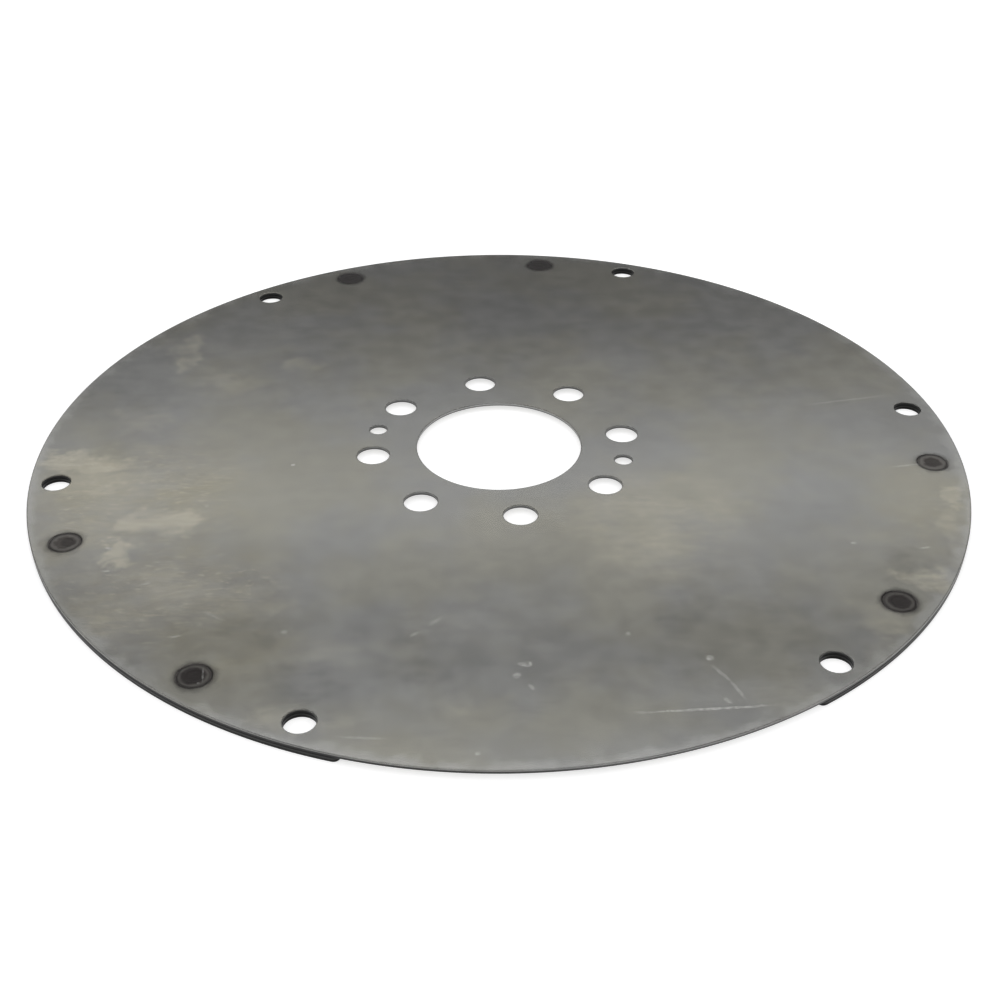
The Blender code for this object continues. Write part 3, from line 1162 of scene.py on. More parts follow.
@dataclass(frozen=True)
class FaceSteel:
    """Bare mill-finish sheet with dried films of oil on it. Its dark films are partly painted shade. Sizes
    are in millimetres.
    """

    FILM_LOOKS: ClassVar[dict[Tone, FilmLook]] = {
        Tone.PALE: FilmLook(1.25, 2.8, 31.0),
        Tone.DARK: FilmLook(1.0, 1.6, 37.0),
        Tone.WARM: FilmLook(1.0, 1.8, 43.0),
    }

    name: str
    seed: float
    scars: WeldScars
    cool: Colour = (0.233, 0.234, 0.228)
    warm: Colour = (0.243, 0.239, 0.212)
    roughness: float = 0.23
    roughness_swing: float = 0.008
    cloud_size: float = 75.0
    patch_size: float = 11.0
    cloud_shade: float = 0.04
    mottle_shade: float = 0.050
    grain_shade: float = 0.050
    hair_shade: float = 0.03
    pale: Colour = (0.492, 0.465, 0.378)
    pale_cover: float = 0.55
    warm_tint: Colour = (1.04, 1.0, 0.89)
    fleck_cover: float = 0.22
    dark_shade: float = 0.34
    stray_film: float = 0.14
    film_wobble: float = 18.0
    film_reach: float = 26.0
    soot_colour: Colour = (0.026, 0.023, 0.023)
    scratch_colour: Colour = (0.46, 0.46, 0.44)
    rub_colour: Colour = (0.36, 0.36, 0.35)
    rim_radius: float = 197.0
    wave_size: float = 110.0
    wave_height: float = 0.06
    line_length: float = 18.0
    line_width: float = 0.9
    line_height: float = 0.0003
    rub_wander: float = 2.2
    rub_width: float = 5.5
    rub_overrun: float = 0.5
    rub_cover: float = 0.5
    core_cover: float = 0.9
    groove_cover: float = 0.92
    pale_dulling: float = 0.015
    burn_dulling: float = 0.12
    pit_dulling: float = 0.01
    stray_size: float = 60.0
    stray_range: Place = (0.42, 0.72)
    film_patch: float = 17.0
    edge_wobble: float = 3.0
    edge_reach: float = 1.1
    skip_size: float = 1.6
    skip_range: Place = (0.38, 0.56)
    skip_strength: float = 0.5
    marks: tuple[Mark, ...] = ()

    def material(self, effects: SteelEffects) -> bpy.types.Material:
        """Make the finish.

        Args:
            effects: the shared shader groups.

        Returns:
            The material.
        """
        graph = Finish(self.name)
        position = graph.position()

        feeds = {
            "Position": position,
            "Cloud Size": self.cloud_size,
            "Patch Size": self.patch_size,
            "Seed": self.seed,
        }
        clouds = graph.group(effects.clouds, feeds)
        flat = graph.vector("MULTIPLY", position, (1.0, 1.0, 0.0))
        wiped = graph.first(
            "ShaderNodeVectorRotate", {"Vector": flat, "Angle": -WIPING_DIRECTION}, rotation_type="Z_AXIS"
        )
        grain = graph.group(
            effects.grain,
            {"Position": wiped, "Line Length": self.line_length, "Line Width": self.line_width},
        )
        pale = self.film(graph, effects, flat, wiped, Tone.PALE)["Film"]
        dark = self.film(graph, effects, flat, wiped, Tone.DARK)["Film"]
        warm = self.film(graph, effects, flat, wiped, Tone.WARM)
        soot, bare = self.fine_marks(graph, effects, flat)
        scars = graph.group(effects.weld_rings, self.scars.feeds(position))

        clean = graph.mix(clouds["Warmth"], (*self.cool, 1.0), (*self.warm, 1.0))
        clouded = graph.slope(clouds["Shade"], self.cloud_shade, 1.0)
        mottled = graph.slope(clouds["Mottle"], self.mottle_shade, clouded)
        grained = graph.slope(graph.plus(grain["Lines"], grain["Pits"]), self.grain_shade, mottled)
        haired = graph.slope(grain["Hairs"], self.hair_shade, grained)
        shaded = graph.vector("SCALE", clean, scale=haired)
        tint = graph.mix(warm["Film"], (1.0, 1.0, 1.0, 1.0), (*self.warm_tint, 1.0))
        tinted = graph.vector("MULTIPLY", shaded, tint)
        flecked = graph.mix(graph.times(warm["Flecks"], self.fleck_cover), tinted, (*self.pale, 1.0))
        filmed = graph.mix(graph.times(pale, self.pale_cover), flecked, (*self.pale, 1.0))
        ragged_radius = graph.slope(clouds["Mottle"], self.rub_wander, graph.vector("LENGTH", flat))
        inner, outer = self.rim_radius - self.rub_width, self.rim_radius + self.rub_overrun
        rub = graph.fade(ragged_radius, inner, outer, high=self.rub_cover)
        rubbed = graph.mix(rub, filmed, (*self.rub_colour, 1.0))
        heat = graph.minus(1.0, graph.times(scars["Heat"], self.scars.heat_shade))
        scorched = graph.vector("SCALE", rubbed, scale=heat)
        landed = graph.mix(scars["Land"], scorched, (*self.scars.land, 1.0))
        cored = graph.mix(graph.times(scars["Core"], self.core_cover), landed, (*self.scars.core, 1.0))
        grooved = graph.mix(
            graph.times(scars["Groove"], self.groove_cover), cored, (*self.scars.groove, 1.0)
        )
        # The dark films darken the colour: partly dark oil film, partly painted shade.
        film_and_shade_darkened = graph.vector("SCALE", grooved, scale=graph.slope(dark, -self.dark_shade, 1.0))
        sooted = graph.mix(soot, film_and_shade_darkened, (*self.soot_colour, 1.0))
        colour = graph.mix(bare, sooted, (*self.scratch_colour, 1.0))

        swung = graph.slope(clouds["Mottle"], self.roughness_swing, self.roughness)
        dulled = graph.slope(pale, self.pale_dulling, swung)
        burnt = graph.slope(scars["Land"], self.burn_dulling, dulled)
        roughness = graph.slope(grain["Pits"], self.pit_dulling, burnt)

        waves = graph.times(
            graph.noise(position, self.wave_size, detail=1.0, rough=0.4, seed=self.seed + 20.0),
            self.wave_height,
        )
        rolled = graph.slope(grain["Lines"], self.line_height, waves)
        return graph.metal(colour, roughness, rolled)

    def masks(
        self, graph: Graph, effects: SteelEffects, position: Any, tone: Tone
    ) -> Iterator[bpy.types.NodeSocket]:
        """Draw the masks of the placed marks of one tone, each when it is asked for.

        Args:
            graph: the material's tree.
            effects: the shared shader groups.
            position: the point in millimetres, on the plane z = 0.
            tone: which marks.

        Yields:
            Each mark's mask.
        """
        for mark in self.marks:
            if mark.tone is tone:
                yield graph.group(effects.mark, mark.feeds(position))["Mask"]

    def film(
        self, graph: Graph, effects: SteelEffects, flat: Any, wiped: Any, tone: Tone
    ) -> bpy.types.NodeOutputs:
        """Lay the dried film of one tone: thick on the placed marks, and in faint stray clouds elsewhere.

        The placed dark marks are partly painted shade.

        Args:
            graph: the material's tree.
            effects: the shared shader groups.
            flat: the point in millimetres, on the plane z = 0.
            wiped: the same with x turned to the wiping direction.
            tone: pale, dark or warm.

        Returns:
            The sockets of the film and of its flecks.
        """
        look = self.FILM_LOOKS[tone]
        seed = self.seed + look.seed_step
        loose = graph.shake(flat, self.film_wobble, self.film_reach, seed) if self.marks else flat
        stray = graph.fade(
            graph.noise(wiped, self.stray_size, seed=seed), *self.stray_range, high=self.stray_film
        )
        feeds = {
            "Position": wiped,
            "Zone": graph.strongest(chain([stray], self.masks(graph, effects, loose, tone))),
            "Patch Size": self.film_patch,
            "Raggedness": look.raggedness,
            "Contrast": look.contrast,
            "Seed": seed + 1.0,
        }
        return graph.group(effects.film, feeds)

    def fine_marks(self, graph: Graph, effects: SteelEffects, flat: Any) -> tuple[Any, Any]:
        """Place the soot and the bare scratches. Their outlines are shaken by the same fine noise.

        Args:
            graph: the material's tree.
            effects: the shared shader groups.
            flat: the point in millimetres, on the plane z = 0.

        Returns:
            The sockets of the soot and of the bare metal, or two zeros where there are no marks.
        """
        if not self.marks:
            return 0.0, 0.0
        shaken = graph.shake(flat, self.edge_wobble, self.edge_reach)
        soot = graph.strongest(self.masks(graph, effects, shaken, Tone.SOOT))
        bare = graph.strongest(self.masks(graph, effects, shaken, Tone.BARE))
        skips = graph.fade(
            graph.noise(flat, self.skip_size, seed=8.0), *self.skip_range, low=self.skip_strength
        )
        return soot, graph.times(bare, skips)


@dataclass(frozen=True)
class ShearedSteel:
    """The wall that a punch or shear leaves: burnished above, torn and dark below.

    The rim passes from the first of its shades to the second towards +X, over a reach that is given
    in rim radii: painted light, lighter on one side. The walls of the bore and of the holes about it
    are brightened as a painted reflection, and the rim bolt holes are darkened as painted shade.
    """

    name: str
    burnished: Colour
    torn: Colour
    top: float
    thickness: float
    burnish_share: float
    rim_radius: float
    painted_rim_shades: tuple[float, float] = (0.80, 1.95)
    side_reach: tuple[float, float] = (-0.35, 0.40)
    painted_hole_shade: float = 0.46
    hub_shade: float = 1.8
    bore_shade: float = 3.4
    line_shade: float = 0.5
    roughness: float = 0.42
    torn_dulling: float = 0.22
    line_heights: tuple[float, float] = (0.02, 0.07)

    def material(self, effects: SteelEffects) -> bpy.types.Material:
        """Make the finish.

        Args:
            effects: the shared shader groups.

        Returns:
            The material.
        """
        graph = Finish(self.name)
        position = graph.position()
        feeds = {
            "Position": position,
            "Top": self.top / MILLIMETRE,
            "Thickness": self.thickness / MILLIMETRE,
            "Burnish Share": self.burnish_share,
            "Rim Radius": self.rim_radius / MILLIMETRE,
            "Side Start": self.side_reach[0],
            "Side End": self.side_reach[1],
        }
        wall = graph.group(effects.shear, feeds)
        colour = graph.mix(wall["Torn"], (*self.burnished, 1.0), (*self.torn, 1.0))
        # Painted light and shade on the walls: the rim wall lighter towards +X, the rim bolt holes darker,
        # and the hub and bore walls brighter as a painted reflection.
        dull, bright = self.painted_rim_shades
        rim = graph.slope(wall["Side"], bright - dull, dull - self.painted_hole_shade)
        outer = graph.slope(wall["Rim"], rim, self.painted_hole_shade)
        inner = graph.slope(wall["Hub"], self.hub_shade - self.painted_hole_shade, outer)
        painted_wall_light = graph.slope(wall["Bore"], self.bore_shade - self.hub_shade, inner)
        lined = graph.times(painted_wall_light, graph.slope(wall["Lines"], self.line_shade, 1.0))
        roughness = graph.slope(wall["Torn"], self.torn_dulling, self.roughness)
        smooth, coarse = self.line_heights
        height = graph.times(wall["Lines"], graph.slope(wall["Torn"], coarse - smooth, smooth))
        return graph.metal(graph.vector("SCALE", colour, scale=lined), roughness, height)


@dataclass(frozen=True)
class SheetDress:
    """The finishes of one sheet. Its top edge is drawn over and needn't look like its walls."""

    top: bpy.types.Material
    underside: bpy.types.Material
    edge: bpy.types.Material
    rolled: bpy.types.Material


@dataclass
class Stamping:
    """One sheared sheet, which stands for a CAD node and lies between the same levels."""

    node: str
    slot: str
    trees: SheetTrees
    low: Vector = field(init=False)
    high: Vector = field(init=False)

    def __post_init__(self) -> None:
        """Take the node's corners from the frame."""
        self.low, self.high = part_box(self.node)

    def sizes(self) -> dict[str, Any]:
        """List the tree's inputs that give this sheet its size."""
        raise NotImplementedError

    def outlines(self, graph: Group) -> list[Any]:
        """Draw the sheet's outline and its holes in its tree."""
        raise NotImplementedError

    def own_plugs(self) -> list[Plug]:
        """List the inputs of the tree that only this kind of sheet has."""
        raise NotImplementedError

    def draw_tree(self) -> bpy.types.NodeTree:
        """Draw the tree that makes the sheet.

        Returns:
            The tree, which needs no mesh to start from.
        """
        shared = [Plug("Underside"), Plug("Thickness"), *SheetTrees.MARK_PLUGS, *ShearedSection.PLUGS]
        materials = [
            Plug(name, Kind.MATERIAL) for name in ("Top Steel", "Under Steel", "Edge Steel", "Rolled Steel")
        ]
        graph = SheetTrees.start(self.node.replace("_", " ").title(), self.own_plugs() + shared + materials)
        given = graph.given
        drawn = graph.join(self.outlines(graph))
        feeds = {plug.name: given[plug.name] for plug in SheetTrees.MARK_PLUGS}
        marks = graph.group(self.trees.electrode_marks, feeds)
        feeds = {
            "Outlines": drawn,
            "Marks": marks["Shape"],
            "Underside": given["Underside"],
            "Thickness": given["Thickness"],
        }
        feeds |= {plug.name: given[plug.name] for plug in ShearedSection.PLUGS}
        sheet = graph.group(self.trees.sheared_sheet, feeds)["Shape"]
        sheet = graph.first("GeometryNodeRealizeInstances", {0: sheet})
        sheet = graph.first("GeometryNodeSetMaterial", {"Geometry": sheet, "Material": given["Edge Steel"]})
        for name, material in (
            ("top_face", "Top Steel"), ("under_face", "Under Steel"), ("rolled_edge", "Rolled Steel")
        ):
            chosen = graph.first("GeometryNodeInputNamedAttribute", {"Name": name}, data_type="BOOLEAN")
            feeds = {"Geometry": sheet, "Selection": chosen, "Material": given[material]}
            sheet = graph.first("GeometryNodeSetMaterial", feeds)
        tree = graph.finish({"Shape": sheet})
        tree.is_modifier = True
        return tree

    def ring_of_holes(self, graph: Group, prefix: str) -> bpy.types.NodeSocket:
        """Place a circle of holes in the sheet's tree."""
        feeds = {plug.name: graph.given[f"{prefix} {plug.name}"] for plug in HoleCircle.PLUGS}
        return graph.group(self.trees.ring_of_holes, feeds)["Shape"]

    def shared_sizes(self, side: Side, doublers: int, first_middle: float, pitch: float) -> dict[str, Any]:
        """Give the sizes that every sheet has.

        Args:
            side: the face that has the electrode marks.
            doublers: how many doublers are welded to this sheet, or 1 for a doubler itself.
            first_middle: the direction of the first one's middle.
            pitch: the angle from one to the next.

        Returns:
            The tree's inputs and their values.
        """
        placed = {
            "Underside": self.low.z,
            "Thickness": self.high.z - self.low.z,
            "Doublers": doublers,
            "First Middle": first_middle,
            "Pitch": pitch,
            "Height": self.high.z if side is Side.TOP else self.low.z,
            "Facing": float(side.value),
        }
        return placed | named_sizes(self.trees.mark) | named_sizes(self.trees.section)

    def build(self, dress: SheetDress) -> bpy.types.Object:
        """Make the sheet's mesh and put it in the CAD node's place.

        Args:
            dress: the sheet's finishes.

        Returns:
            The finished piece.
        """
        tree = self.draw_tree()
        blank = bpy.data.meshes.new(f"{self.node}_blank")
        piece = bpy.data.objects.new(f"{self.node}_sheet", blank)
        bpy.context.scene.collection.objects.link(piece)
        maker = piece.modifiers.new("Sheet", "NODES")
        maker.node_group = tree
        steels = {
            "Top Steel": dress.top,
            "Under Steel": dress.underside,
            "Edge Steel": dress.edge,
            "Rolled Steel": dress.rolled,
        }
        values = self.sizes() | steels
        for item in tree.interface.items_tree:
            if item.item_type == "SOCKET" and item.in_out == "INPUT":
                maker[item.identifier] = values[item.name]

        finished = piece.evaluated_get(bpy.context.evaluated_depsgraph_get())
        mesh = bpy.data.meshes.new_from_object(finished)
        piece.modifiers.remove(maker)
        piece.data = mesh
        bpy.data.meshes.remove(blank)
        mesh.name = piece.name
        if mesh.materials[0] is None:
            mesh.materials.pop(index=0)
        for name in ("top_face", "under_face", "rolled_edge", "share"):
            spare = mesh.attributes.get(name)
            if spare is not None:
                mesh.attributes.remove(spare)
        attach(piece, "root")
        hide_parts(self.node)
        LOG.info("%s: %d faces, %d materials", piece.name, len(mesh.polygons), len(mesh.materials))
        return piece


@dataclass
class DriveDisc(Stamping):
    """The thin round plate with its bore, its crank bolt and dowel holes and its rim bolt holes."""

    bore_radius: float = 0.0354
    crank_holes: HoleCircle = HoleCircle(
        count=8, circle_radius=0.0544, hole_radius=0.0069, first_angle=0.0, pitch=FULL_TURN / 8
    )
    dowel_holes: HoleCircle = HoleCircle(
        count=2,
        circle_radius=0.0544,
        hole_radius=0.00375,
        first_angle=math.radians(-22.5),
        pitch=FULL_TURN / 2,
        steps=48,
    )
    rim_holes: HoleCircle = HoleCircle(
        count=6, circle_radius=0.1861, hole_radius=0.00575, first_angle=0.0, pitch=FULL_TURN / 6
    )
    rim_steps: int = 512
    bore_steps: int = 192

    def circles(self) -> dict[str, HoleCircle]:
        """List the circles of holes by the words that their inputs start with."""
        return {"Crank Hole": self.crank_holes, "Dowel Hole": self.dowel_holes, "Rim Hole": self.rim_holes}

    def sizes(self) -> dict[str, Any]:
        """List the tree's inputs that give the disc its size.

        Returns:
            The inputs and their values.
        """
        own = {
            "Rim Radius": self.high.x,
            "Rim Steps": self.rim_steps,
            "Bore Radius": self.bore_radius,
            "Bore Steps": self.bore_steps,
        }
        for prefix, circle in self.circles().items():
            own |= circle.feeds(prefix)
        middles = list(Doubler.MIDDLES.values())
        return own | self.shared_sizes(Side.TOP, len(middles), middles[0], FULL_TURN / len(middles))

    def own_plugs(self) -> list[Plug]:
        """List the inputs that only the disc's tree has.

        Returns:
            The inputs.
        """
        plugs = [
            Plug("Rim Radius"),
            Plug("Rim Steps", Kind.WHOLE),
            Plug("Bore Radius"),
            Plug("Bore Steps", Kind.WHOLE),
        ]
        return plugs + [plug for prefix in self.circles() for plug in HoleCircle.plugs(prefix)]

    def outlines(self, graph: Group) -> list[Any]:
        """Draw the rim, the bore and the three circles of holes.

        Args:
            graph: the disc's tree.

        Returns:
            The outlines.
        """
        given = graph.given
        rim = graph.first(
            "GeometryNodeCurvePrimitiveCircle",
            {"Resolution": given["Rim Steps"], "Radius": given["Rim Radius"]},
        )
        bore = graph.first(
            "GeometryNodeCurvePrimitiveCircle",
            {"Resolution": given["Bore Steps"], "Radius": given["Bore Radius"]},
        )
        pierced = graph.first("GeometryNodeReverseCurve", {"Curve": bore})
        return [rim, pierced, *(self.ring_of_holes(graph, prefix) for prefix in self.circles())]


@dataclass
class Doubler(Stamping):
    """An arc-shaped strip under the rim, with two of the rim bolt holes and two welds."""

    MIDDLES: ClassVar[dict[str, float]] = {
        "rear_doubler": math.radians(90.0),
        "left_doubler": math.radians(210.0),
        "right_doubler": math.radians(330.0),
    }
    STRIP: ClassVar[tuple[str, ...]] = (
        "Outer Radius", "Width", "Half Angle", "Corner Radius", "Middle", "Step"
    )

    rim_radius: float = 0.197
    width: float = 0.0256
    end_margin: float = 0.0179
    corner_radius: float = 0.0022
    step: float = 0.0006
    holes: HoleCircle = HoleCircle(
        count=2, circle_radius=0.1861, hole_radius=0.00575, first_angle=-FULL_TURN / 12, pitch=FULL_TURN / 6
    )
    seam: float = 0.00003

    def __post_init__(self) -> None:
        """Take the node's corners, and let the strip reach up to the disc that it is welded to."""
        super().__post_init__()
        self.high.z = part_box("drive_disc")[0].z - self.seam

    def sizes(self) -> dict[str, Any]:
        """List the tree's inputs that give the doubler its size.

        Returns:
            The inputs and their values.
        """
        middle = self.MIDDLES[self.node]
        half_angle = self.holes.pitch / 2.0 + self.end_margin / self.holes.circle_radius
        strip = (self.rim_radius, self.width, half_angle, self.corner_radius, middle, self.step)
        own = dict(zip(self.STRIP, strip)) | self.holes.feeds("Rim Hole", middle)
        return own | self.shared_sizes(Side.UNDERSIDE, 1, middle, 0.0)

    def own_plugs(self) -> list[Plug]:
        """List the inputs that only a doubler's tree has."""
        return [Plug(name) for name in self.STRIP] + HoleCircle.plugs("Rim Hole")

    def outlines(self, graph: Group) -> list[Any]:
        """Draw the strip and its two holes.

        Args:
            graph: the doubler's tree.

        Returns:
            The outlines.
        """
        feeds = {name: graph.given[name] for name in self.STRIP}
        strip = graph.group(self.trees.bent_strip, feeds)["Shape"]
        return [strip, self.ring_of_holes(graph, "Rim Hole")]


@dataclass(frozen=True)
class Softbox:
    """A rectangular, evenly bright lamp that looks at the part from some way off.

    Its energy goes by its area, so its brightness says how bright it looks at any size.
    """

    name: str
    bearing: float
    elevation: float
    distance: float
    width: float
    height: float
    brightness: float

    def build(self, target: Vector) -> bpy.types.Object:
        """Hang the lamp.

        Args:
            target: what it looks at.

        Returns:
            The lamp.
        """
        data = bpy.data.lights.new(self.name, "AREA")
        data.shape = "RECTANGLE"
        data.size = self.width
        data.size_y = self.height
        data.energy = self.brightness * self.width * self.height * math.pi
        lamp = bpy.data.objects.new(self.name, data)
        bpy.context.scene.collection.objects.link(lamp)
        level = self.distance * math.cos(self.elevation)
        rise = self.distance * math.sin(self.elevation)
        across = Vector((level * math.sin(self.bearing), level * math.cos(self.bearing), rise))
        lamp.location = target + across
        lamp.rotation_euler = (-across).to_track_quat("-Z", "Y").to_euler()
        lamp.visible_camera = False
        return lamp


@dataclass
class Studio:
    """A pale floor, a pale sky, soft lamps and the camera that took the photo.

    The camera's bearing is the direction it looks in, from +Y towards +X. It stands at a distance
    behind the disc's middle along that bearing, a little to one side, and above the disc's top.
    """

    bearing: float = math.radians(9.192)
    behind: float = 0.5236
    aside: float = 0.00044
    above: float = 0.32382
    pitch: float = math.radians(33.985)
    roll: float = math.radians(-0.0915)
    lens: float = 51.23
    nearest: float = 0.01
    sky_level: float = 0.25
    floor_size: float = 40.0
    floor_colour: Colour = (0.80, 0.80, 0.80)
    floor_glow: float = 0.62
    low_strip: Softbox = Softbox(
        "low_strip",
        bearing=0.0,
        elevation=math.radians(34.2),
        distance=3.0,
        width=3.1,
        height=0.38,
        brightness=1.55,
    )
    high_strip: Softbox = Softbox(
        "high_strip",
        bearing=0.0,
        elevation=math.radians(49.0),
        distance=3.0,
        width=2.5,
        height=0.26,
        brightness=2.5,
    )
    overhead: Softbox = Softbox(
        "overhead_softbox",
        bearing=0.0,
        elevation=math.radians(90.0),
        distance=2.6,
        width=2.4,
        height=2.4,
        brightness=0.70,
    )
    sides: dict[str, float] = field(
        default_factory=lambda: {"back": 0.0, "right": 90.0, "front": 180.0, "left": 270.0}
    )

    def build(self, top: float) -> None:
        """Set up everything that isn't part of the object.

        Args:
            top: the level of the disc's top face.
        """
        self.place_camera(top)
        self.light_sky()
        self.lay_floor()
        target = Vector((0.0, 0.0, top))
        self.overhead.build(target)
        for side, turn in self.sides.items():
            for strip in (self.low_strip, self.high_strip):
                lamp = replace(
                    strip, name=f"{side}_{strip.name}", bearing=self.bearing + math.radians(turn)
                )
                lamp.build(target)
                LOG.info(
                    "%s: %.1f by %.1f m, brightness %.2f",
                    lamp.name,
                    lamp.width,
                    lamp.height,
                    lamp.brightness,
                )
        settings = bpy.context.scene.view_settings
        settings.view_transform = "Standard"

    def place_camera(self, top: float) -> bpy.types.Object:
        """Stand the camera where the photo was taken from.

        Args:
            top: the level of the disc's top face.

        Returns:
            The camera.
        """
        data = bpy.data.cameras.new("photo_camera")
        data.lens = self.lens
        data.clip_start = self.nearest
        camera = bpy.data.objects.new("photo_camera", data)
        bpy.context.scene.collection.objects.link(camera)
        turn = Matrix.Rotation(-self.bearing, 4, "Z")
        place = turn @ Vector((self.aside, -self.behind, self.above))
        tilt = Matrix.Rotation(math.pi / 2.0 - self.pitch, 4, "X") @ Matrix.Rotation(self.roll, 4, "Z")
        camera.matrix_world = Matrix.Translation(place + Vector((0.0, 0.0, top))) @ turn @ tilt
        bpy.context.scene.camera = camera
        return camera

    def light_sky(self) -> bpy.types.World:
        """Make the sky one plain pale grey.

        Returns:
            The world.
        """
        world = bpy.data.worlds.new("studio_sky")
        world.use_nodes = True
        background = world.node_tree.nodes["Background"]
        background.inputs["Color"].default_value = (1.0, 1.0, 1.0, 1.0)
        background.inputs["Strength"].default_value = self.sky_level
        bpy.context.scene.world = world
        return world

    def lay_floor(self) -> bpy.types.Object:
        """Lay a floor that looks white and keeps the part's shadow.

        Returns:
            The floor.
        """
        half = self.floor_size / 2.0
        corners = [(-half, -half, 0.0), (half, -half, 0.0), (half, half, 0.0), (-half, half, 0.0)]
        mesh = bpy.data.meshes.new("studio_floor")
        mesh.from_pydata(corners, [], [(0, 1, 2, 3)])
        floor = bpy.data.objects.new("studio_floor", mesh)
        bpy.context.scene.collection.objects.link(floor)
        mesh.materials.append(self.floor_material())
        return floor

    def floor_material(self) -> bpy.types.Material:
        """Make white paper that glows a little wherever it is looked at, and is clear from below.

        Returns:
            The material.
        """
        graph = Finish("studio_paper")
        rays = graph.node("ShaderNodeLightPath").outputs
        seen = graph.strongest([rays["Is Camera Ray"], rays["Is Glossy Ray"], rays["Is Transmission Ray"]])
        graph.coat({
            "Base Color": (*self.floor_colour, 1.0),
            "Roughness": 1.0,
            "Specular IOR Level": 0.0,
            "Emission Color": (1.0, 1.0, 1.0, 1.0),
            "Emission Strength": graph.times(seen, self.floor_glow),
        })
        below = graph.node("ShaderNodeNewGeometry").outputs["Backfacing"]
        clear = graph.first("ShaderNodeBsdfTransparent")
        sided = graph.first("ShaderNodeMixShader", {0: below, 1: graph.shader.outputs[0], 2: clear})
        graph.feed(graph.tree.nodes["Material Output"].inputs["Surface"], sided)
        graph.arrange()
        return graph.made


FILMS = (
    *Mark.ovals(
        Tone.PALE,
        (-176.0, 12.6, 22.5, 7.4, 0.85),
        (-167.3, -2.6, 20.7, 9.9, 0.45),
        (-143.9, -36.0, 16.0, 11.2, 1.00),
        (-157.1, -55.0, 7.7, 7.2, 0.85),
        (-133.3, 107.4, 6.7, 16.3, 0.70),
        (-111.3, 72.0, 15.3, 7.5, 0.32),
        (-80.5, 88.5, 10.5, 6.0, 0.40),
        (175.6, -71.3, 5.7, 6.6, 0.50),
        (144.2, -120.2, 9.8, 8.1, 0.80),
        (-154.1, 46.0, 13.3, 12.2, 0.30),
        (-155.2, -18.3, 38.7, 40.2, 0.33),
        (-144.5, -86.9, 25.8, 21.5, 0.40),
        (118.9, -140.9, 11.6, 9.2, 0.38),
        (-55.3, -182.0, 32.2, 7.3, 0.15),
        (-36.2, -162.5, 13.4, 4.9, 0.22),
        (-164.6, -106.9, 10.7, 7.8, 0.34),
        (-96.1, -161.1, 18.2, 6.7, 0.30),
        (164.4, -99.2, 7.0, 22.8, 0.30),
        (54.2, -67.2, 35.9, 36.4, 0.36),
        (-80.7, -126.3, 21.1, 12.0, 0.24),
        (-106.2, -93.2, 16.6, 13.2, 0.30),
        (-172.0, -66.2, 9.1, 12.6, 0.26),
        (112.1, -156.9, 8.5, 7.6, 0.24),
    ),
    *Mark.ovals(
        Tone.WARM,
        (-155.2, -18.3, 42.0, 46.0, 0.85),
        (-140.5, -82.9, 40.0, 32.0, 0.90),
        (-120.0, -118.0, 30.0, 16.0, 0.50),
        (165.0, -80.0, 16.0, 45.0, 0.50),
        (54.2, -67.2, 42.0, 40.0, 0.30),
    ),
    # Dark marks: partly dark oil film, partly painted shade where the top face looks darker, as on the far
    # side and along the near right rim.
    *Mark.ovals(
        Tone.DARK,
        (66.8, -145.0, 42.6, 23.3, 0.42),
        (-1.3, -142.1, 42.0, 14.0, 0.25),
        (-166.5, 70.7, 27.5, 20.2, 0.35),
        (137.3, -110.1, 8.4, 8.3, 0.55),
        (-51.4, -142.0, 11.1, 6.8, 0.45),
        (-172.9, -82.2, 8.1, 12.0, 0.18),
        (-103.8, -142.8, 25.5, 11.2, 0.38),
        (52.3, -185.5, 26.4, 9.6, 0.38),
        (53.5, 133.8, 118.3, 39.6, 0.25),
        (-108.4, -116.2, 17.8, 12.2, 0.30),
        (-112.2, -138.3, 11.6, 7.2, 0.30),
        (-55.6, -129.3, 9.9, 6.6, 0.20),
        (69.9, -189.3, 11.9, 6.7, 0.22),
    ),
)

SOOT = (
    Mark.spot((-50.9, 177.0), 6.9, 0.86, Tone.SOOT),
    Mark.spot((50.9, 177.0), 6.9, 0.90, Tone.SOOT),
    Mark.spot((127.9, -132.6), 7.3, 0.48, Tone.SOOT),
    Mark.spot((127.9, -132.6), 4.7, 0.80, Tone.SOOT),
    Mark.spot((-127.9, -132.6), 7.4, 0.40, Tone.SOOT),
    Mark.spot((-128.2, -132.5), 4.9, 0.88, Tone.SOOT),
    Mark.spot((178.8, -44.4), 3.3, 0.40, Tone.SOOT),
    Mark.spot((-177.2, -44.3), 3.3, 0.50, Tone.SOOT),
    Mark.spot((-180.8, -45.5), 8.5, 0.15, Tone.SOOT),
)

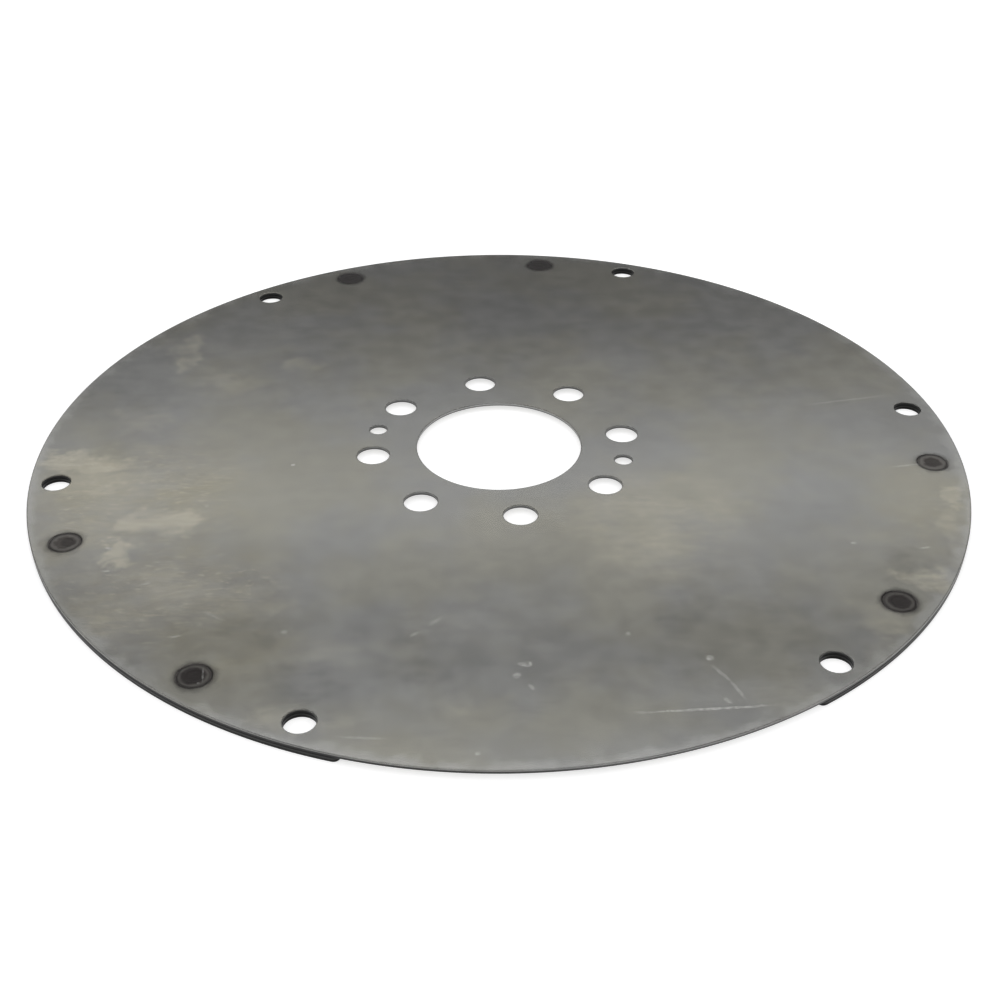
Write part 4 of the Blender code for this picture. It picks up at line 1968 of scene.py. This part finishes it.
SCRATCHES = (
    Mark.scratch((23.5, -175.8), (60.3, -178.9), 0.58, 0.62),
    Mark.scratch((53.4, -178.8), (61.4, -178.6), 0.50, 0.40),
    Mark.scratch((145.2, 10.9), (178.7, 12.8), 0.72, 0.22),
    Mark.scratch((49.9, -156.5), (53.6, -165.0), 0.72, 0.38),
    Mark.scratch((53.6, -165.0), (55.9, -174.1), 0.72, 0.38),
    Mark.scratch((48.9, -173.0), (50.8, -175.8), 0.79, 0.42),
    Mark.scratch((17.6, -174.9), (22.4, -176.1), 0.58, 0.20),
    Mark.scratch((-52.1, -123.7), (-49.0, -121.4), 0.72, 0.30),
    Mark.scratch((-44.3, -118.2), (-39.9, -114.8), 0.72, 0.26),
    Mark.scratch((-79.9, -171.0), (-66.5, -174.1), 0.58, 0.22),
    Mark.scratch((-163.0, -50.7), (-160.3, -51.8), 0.58, 0.50),
    Mark.scratch((-163.2, -65.8), (-160.2, -66.3), 0.58, 0.50),
    Mark.scratch((-148.5, -77.0), (-144.9, -76.4), 0.58, 0.30),
    Mark.scratch((-137.3, -109.7), (-133.0, -109.9), 0.58, 0.40),
    Mark.scratch((-124.4, -97.4), (-118.3, -103.1), 0.58, 0.20),
    Mark.scratch((160.9, -45.1), (172.2, -44.6), 0.58, 0.28),
    Mark.scratch((149.1, -102.1), (153.2, -102.1), 0.58, 0.30),
    Mark.scratch((-16.5, -144.2), (-12.8, -146.2), 0.94, 0.62),
    Mark.scratch((-12.8, -146.2), (-12.6, -144.0), 0.86, 0.60),
    Mark.scratch((-14.8, -155.6), (-13.4, -158.6), 0.79, 0.45),
    Mark.scratch((-124.6, -129.4), (-124.9, -135.7), 0.32, 0.30),
)

NICKS = (
    Mark.spot((-18.0, -150.1), 1.4, 0.55, Tone.BARE),
    Mark.spot((50.1, -152.2), 1.3, 0.65, Tone.BARE),
    Mark.spot((24.9, -134.7), 0.9, 0.45, Tone.BARE),
    Mark.spot((124.7, -94.7), 1.0, 0.40, Tone.BARE),
    Mark.spot((-88.6, -2.4), 0.8, 0.60, Tone.BARE),
    Mark.spot((-124.2, -27.8), 0.8, 0.25, Tone.BARE),
    Mark.spot((-96.3, -113.6), 1.0, 0.35, Tone.BARE),
    Mark.spot((-37.0, -186.0), 0.8, 0.35, Tone.BARE),
    Mark.spot((-126.2, -136.5), 0.5, 0.25, Tone.BARE),
)


def main() -> None:
    """Build the studio, the disc and the doublers, and dress them."""
    logging.basicConfig(level=logging.INFO, format="%(name)s: %(message)s")
    section = ShearedSection()
    mark = ElectrodeMark()
    trees = SheetTrees(section, mark)
    effects = SteelEffects()
    middles = list(Doubler.MIDDLES.values())
    scars = WeldScars(mark, middles[0], math.pi / len(middles))

    disc = DriveDisc("drive_disc", "disc_steel", trees)
    disc_edge = ShearedSteel(
        name="sheared_disc_steel",
        # Kept darker than the face: partly duller sheared steel, partly painted shade on the upright walls.
        burnished=(0.115, 0.116, 0.115),
        torn=(0.075, 0.075, 0.074),
        top=disc.high.z,
        thickness=disc.high.z - disc.low.z,
        burnish_share=section.burnish_share,
        rim_radius=disc.high.x,
    )
    marks = FILMS + SOOT + SCRATCHES + NICKS
    disc_top = FaceSteel("disc_top_steel", 0.0, scars, marks=marks).material(effects)
    disc_under = FaceSteel("disc_underside_steel", 40.0, scars).material(effects)
    dress = SheetDress(disc_top, disc_under, disc_edge.material(effects), disc_top)
    disc.build(dress)

    doublers = [Doubler(name, "doubler_steel", trees) for name in Doubler.MIDDLES]
    strip = doublers[0]
    strip_edge = ShearedSteel(
        name="sheared_doubler_steel",
        # Darker still: painted shade on the doubler's walls under the disc's rim.
        burnished=(0.060, 0.060, 0.059),
        torn=(0.035, 0.035, 0.034),
        top=strip.high.z,
        thickness=strip.high.z - strip.low.z,
        burnish_share=section.burnish_share,
        rim_radius=strip.rim_radius,
        painted_rim_shades=(0.72, 1.45),
        side_reach=(0.55, 1.0),
    )
    strip_face = FaceSteel(
        "doubler_face_steel", 80.0, scars, cool=(0.190, 0.195, 0.194), warm=(0.210, 0.207, 0.195)
    ).material(effects)
    strip_wall = strip_edge.material(effects)
    strip_dress = SheetDress(strip_face, strip_face, strip_wall, strip_wall)
    for doubler in doublers:
        doubler.build(strip_dress)

    Studio().build(disc.high.z)


if __name__ == "__main__":
    main()
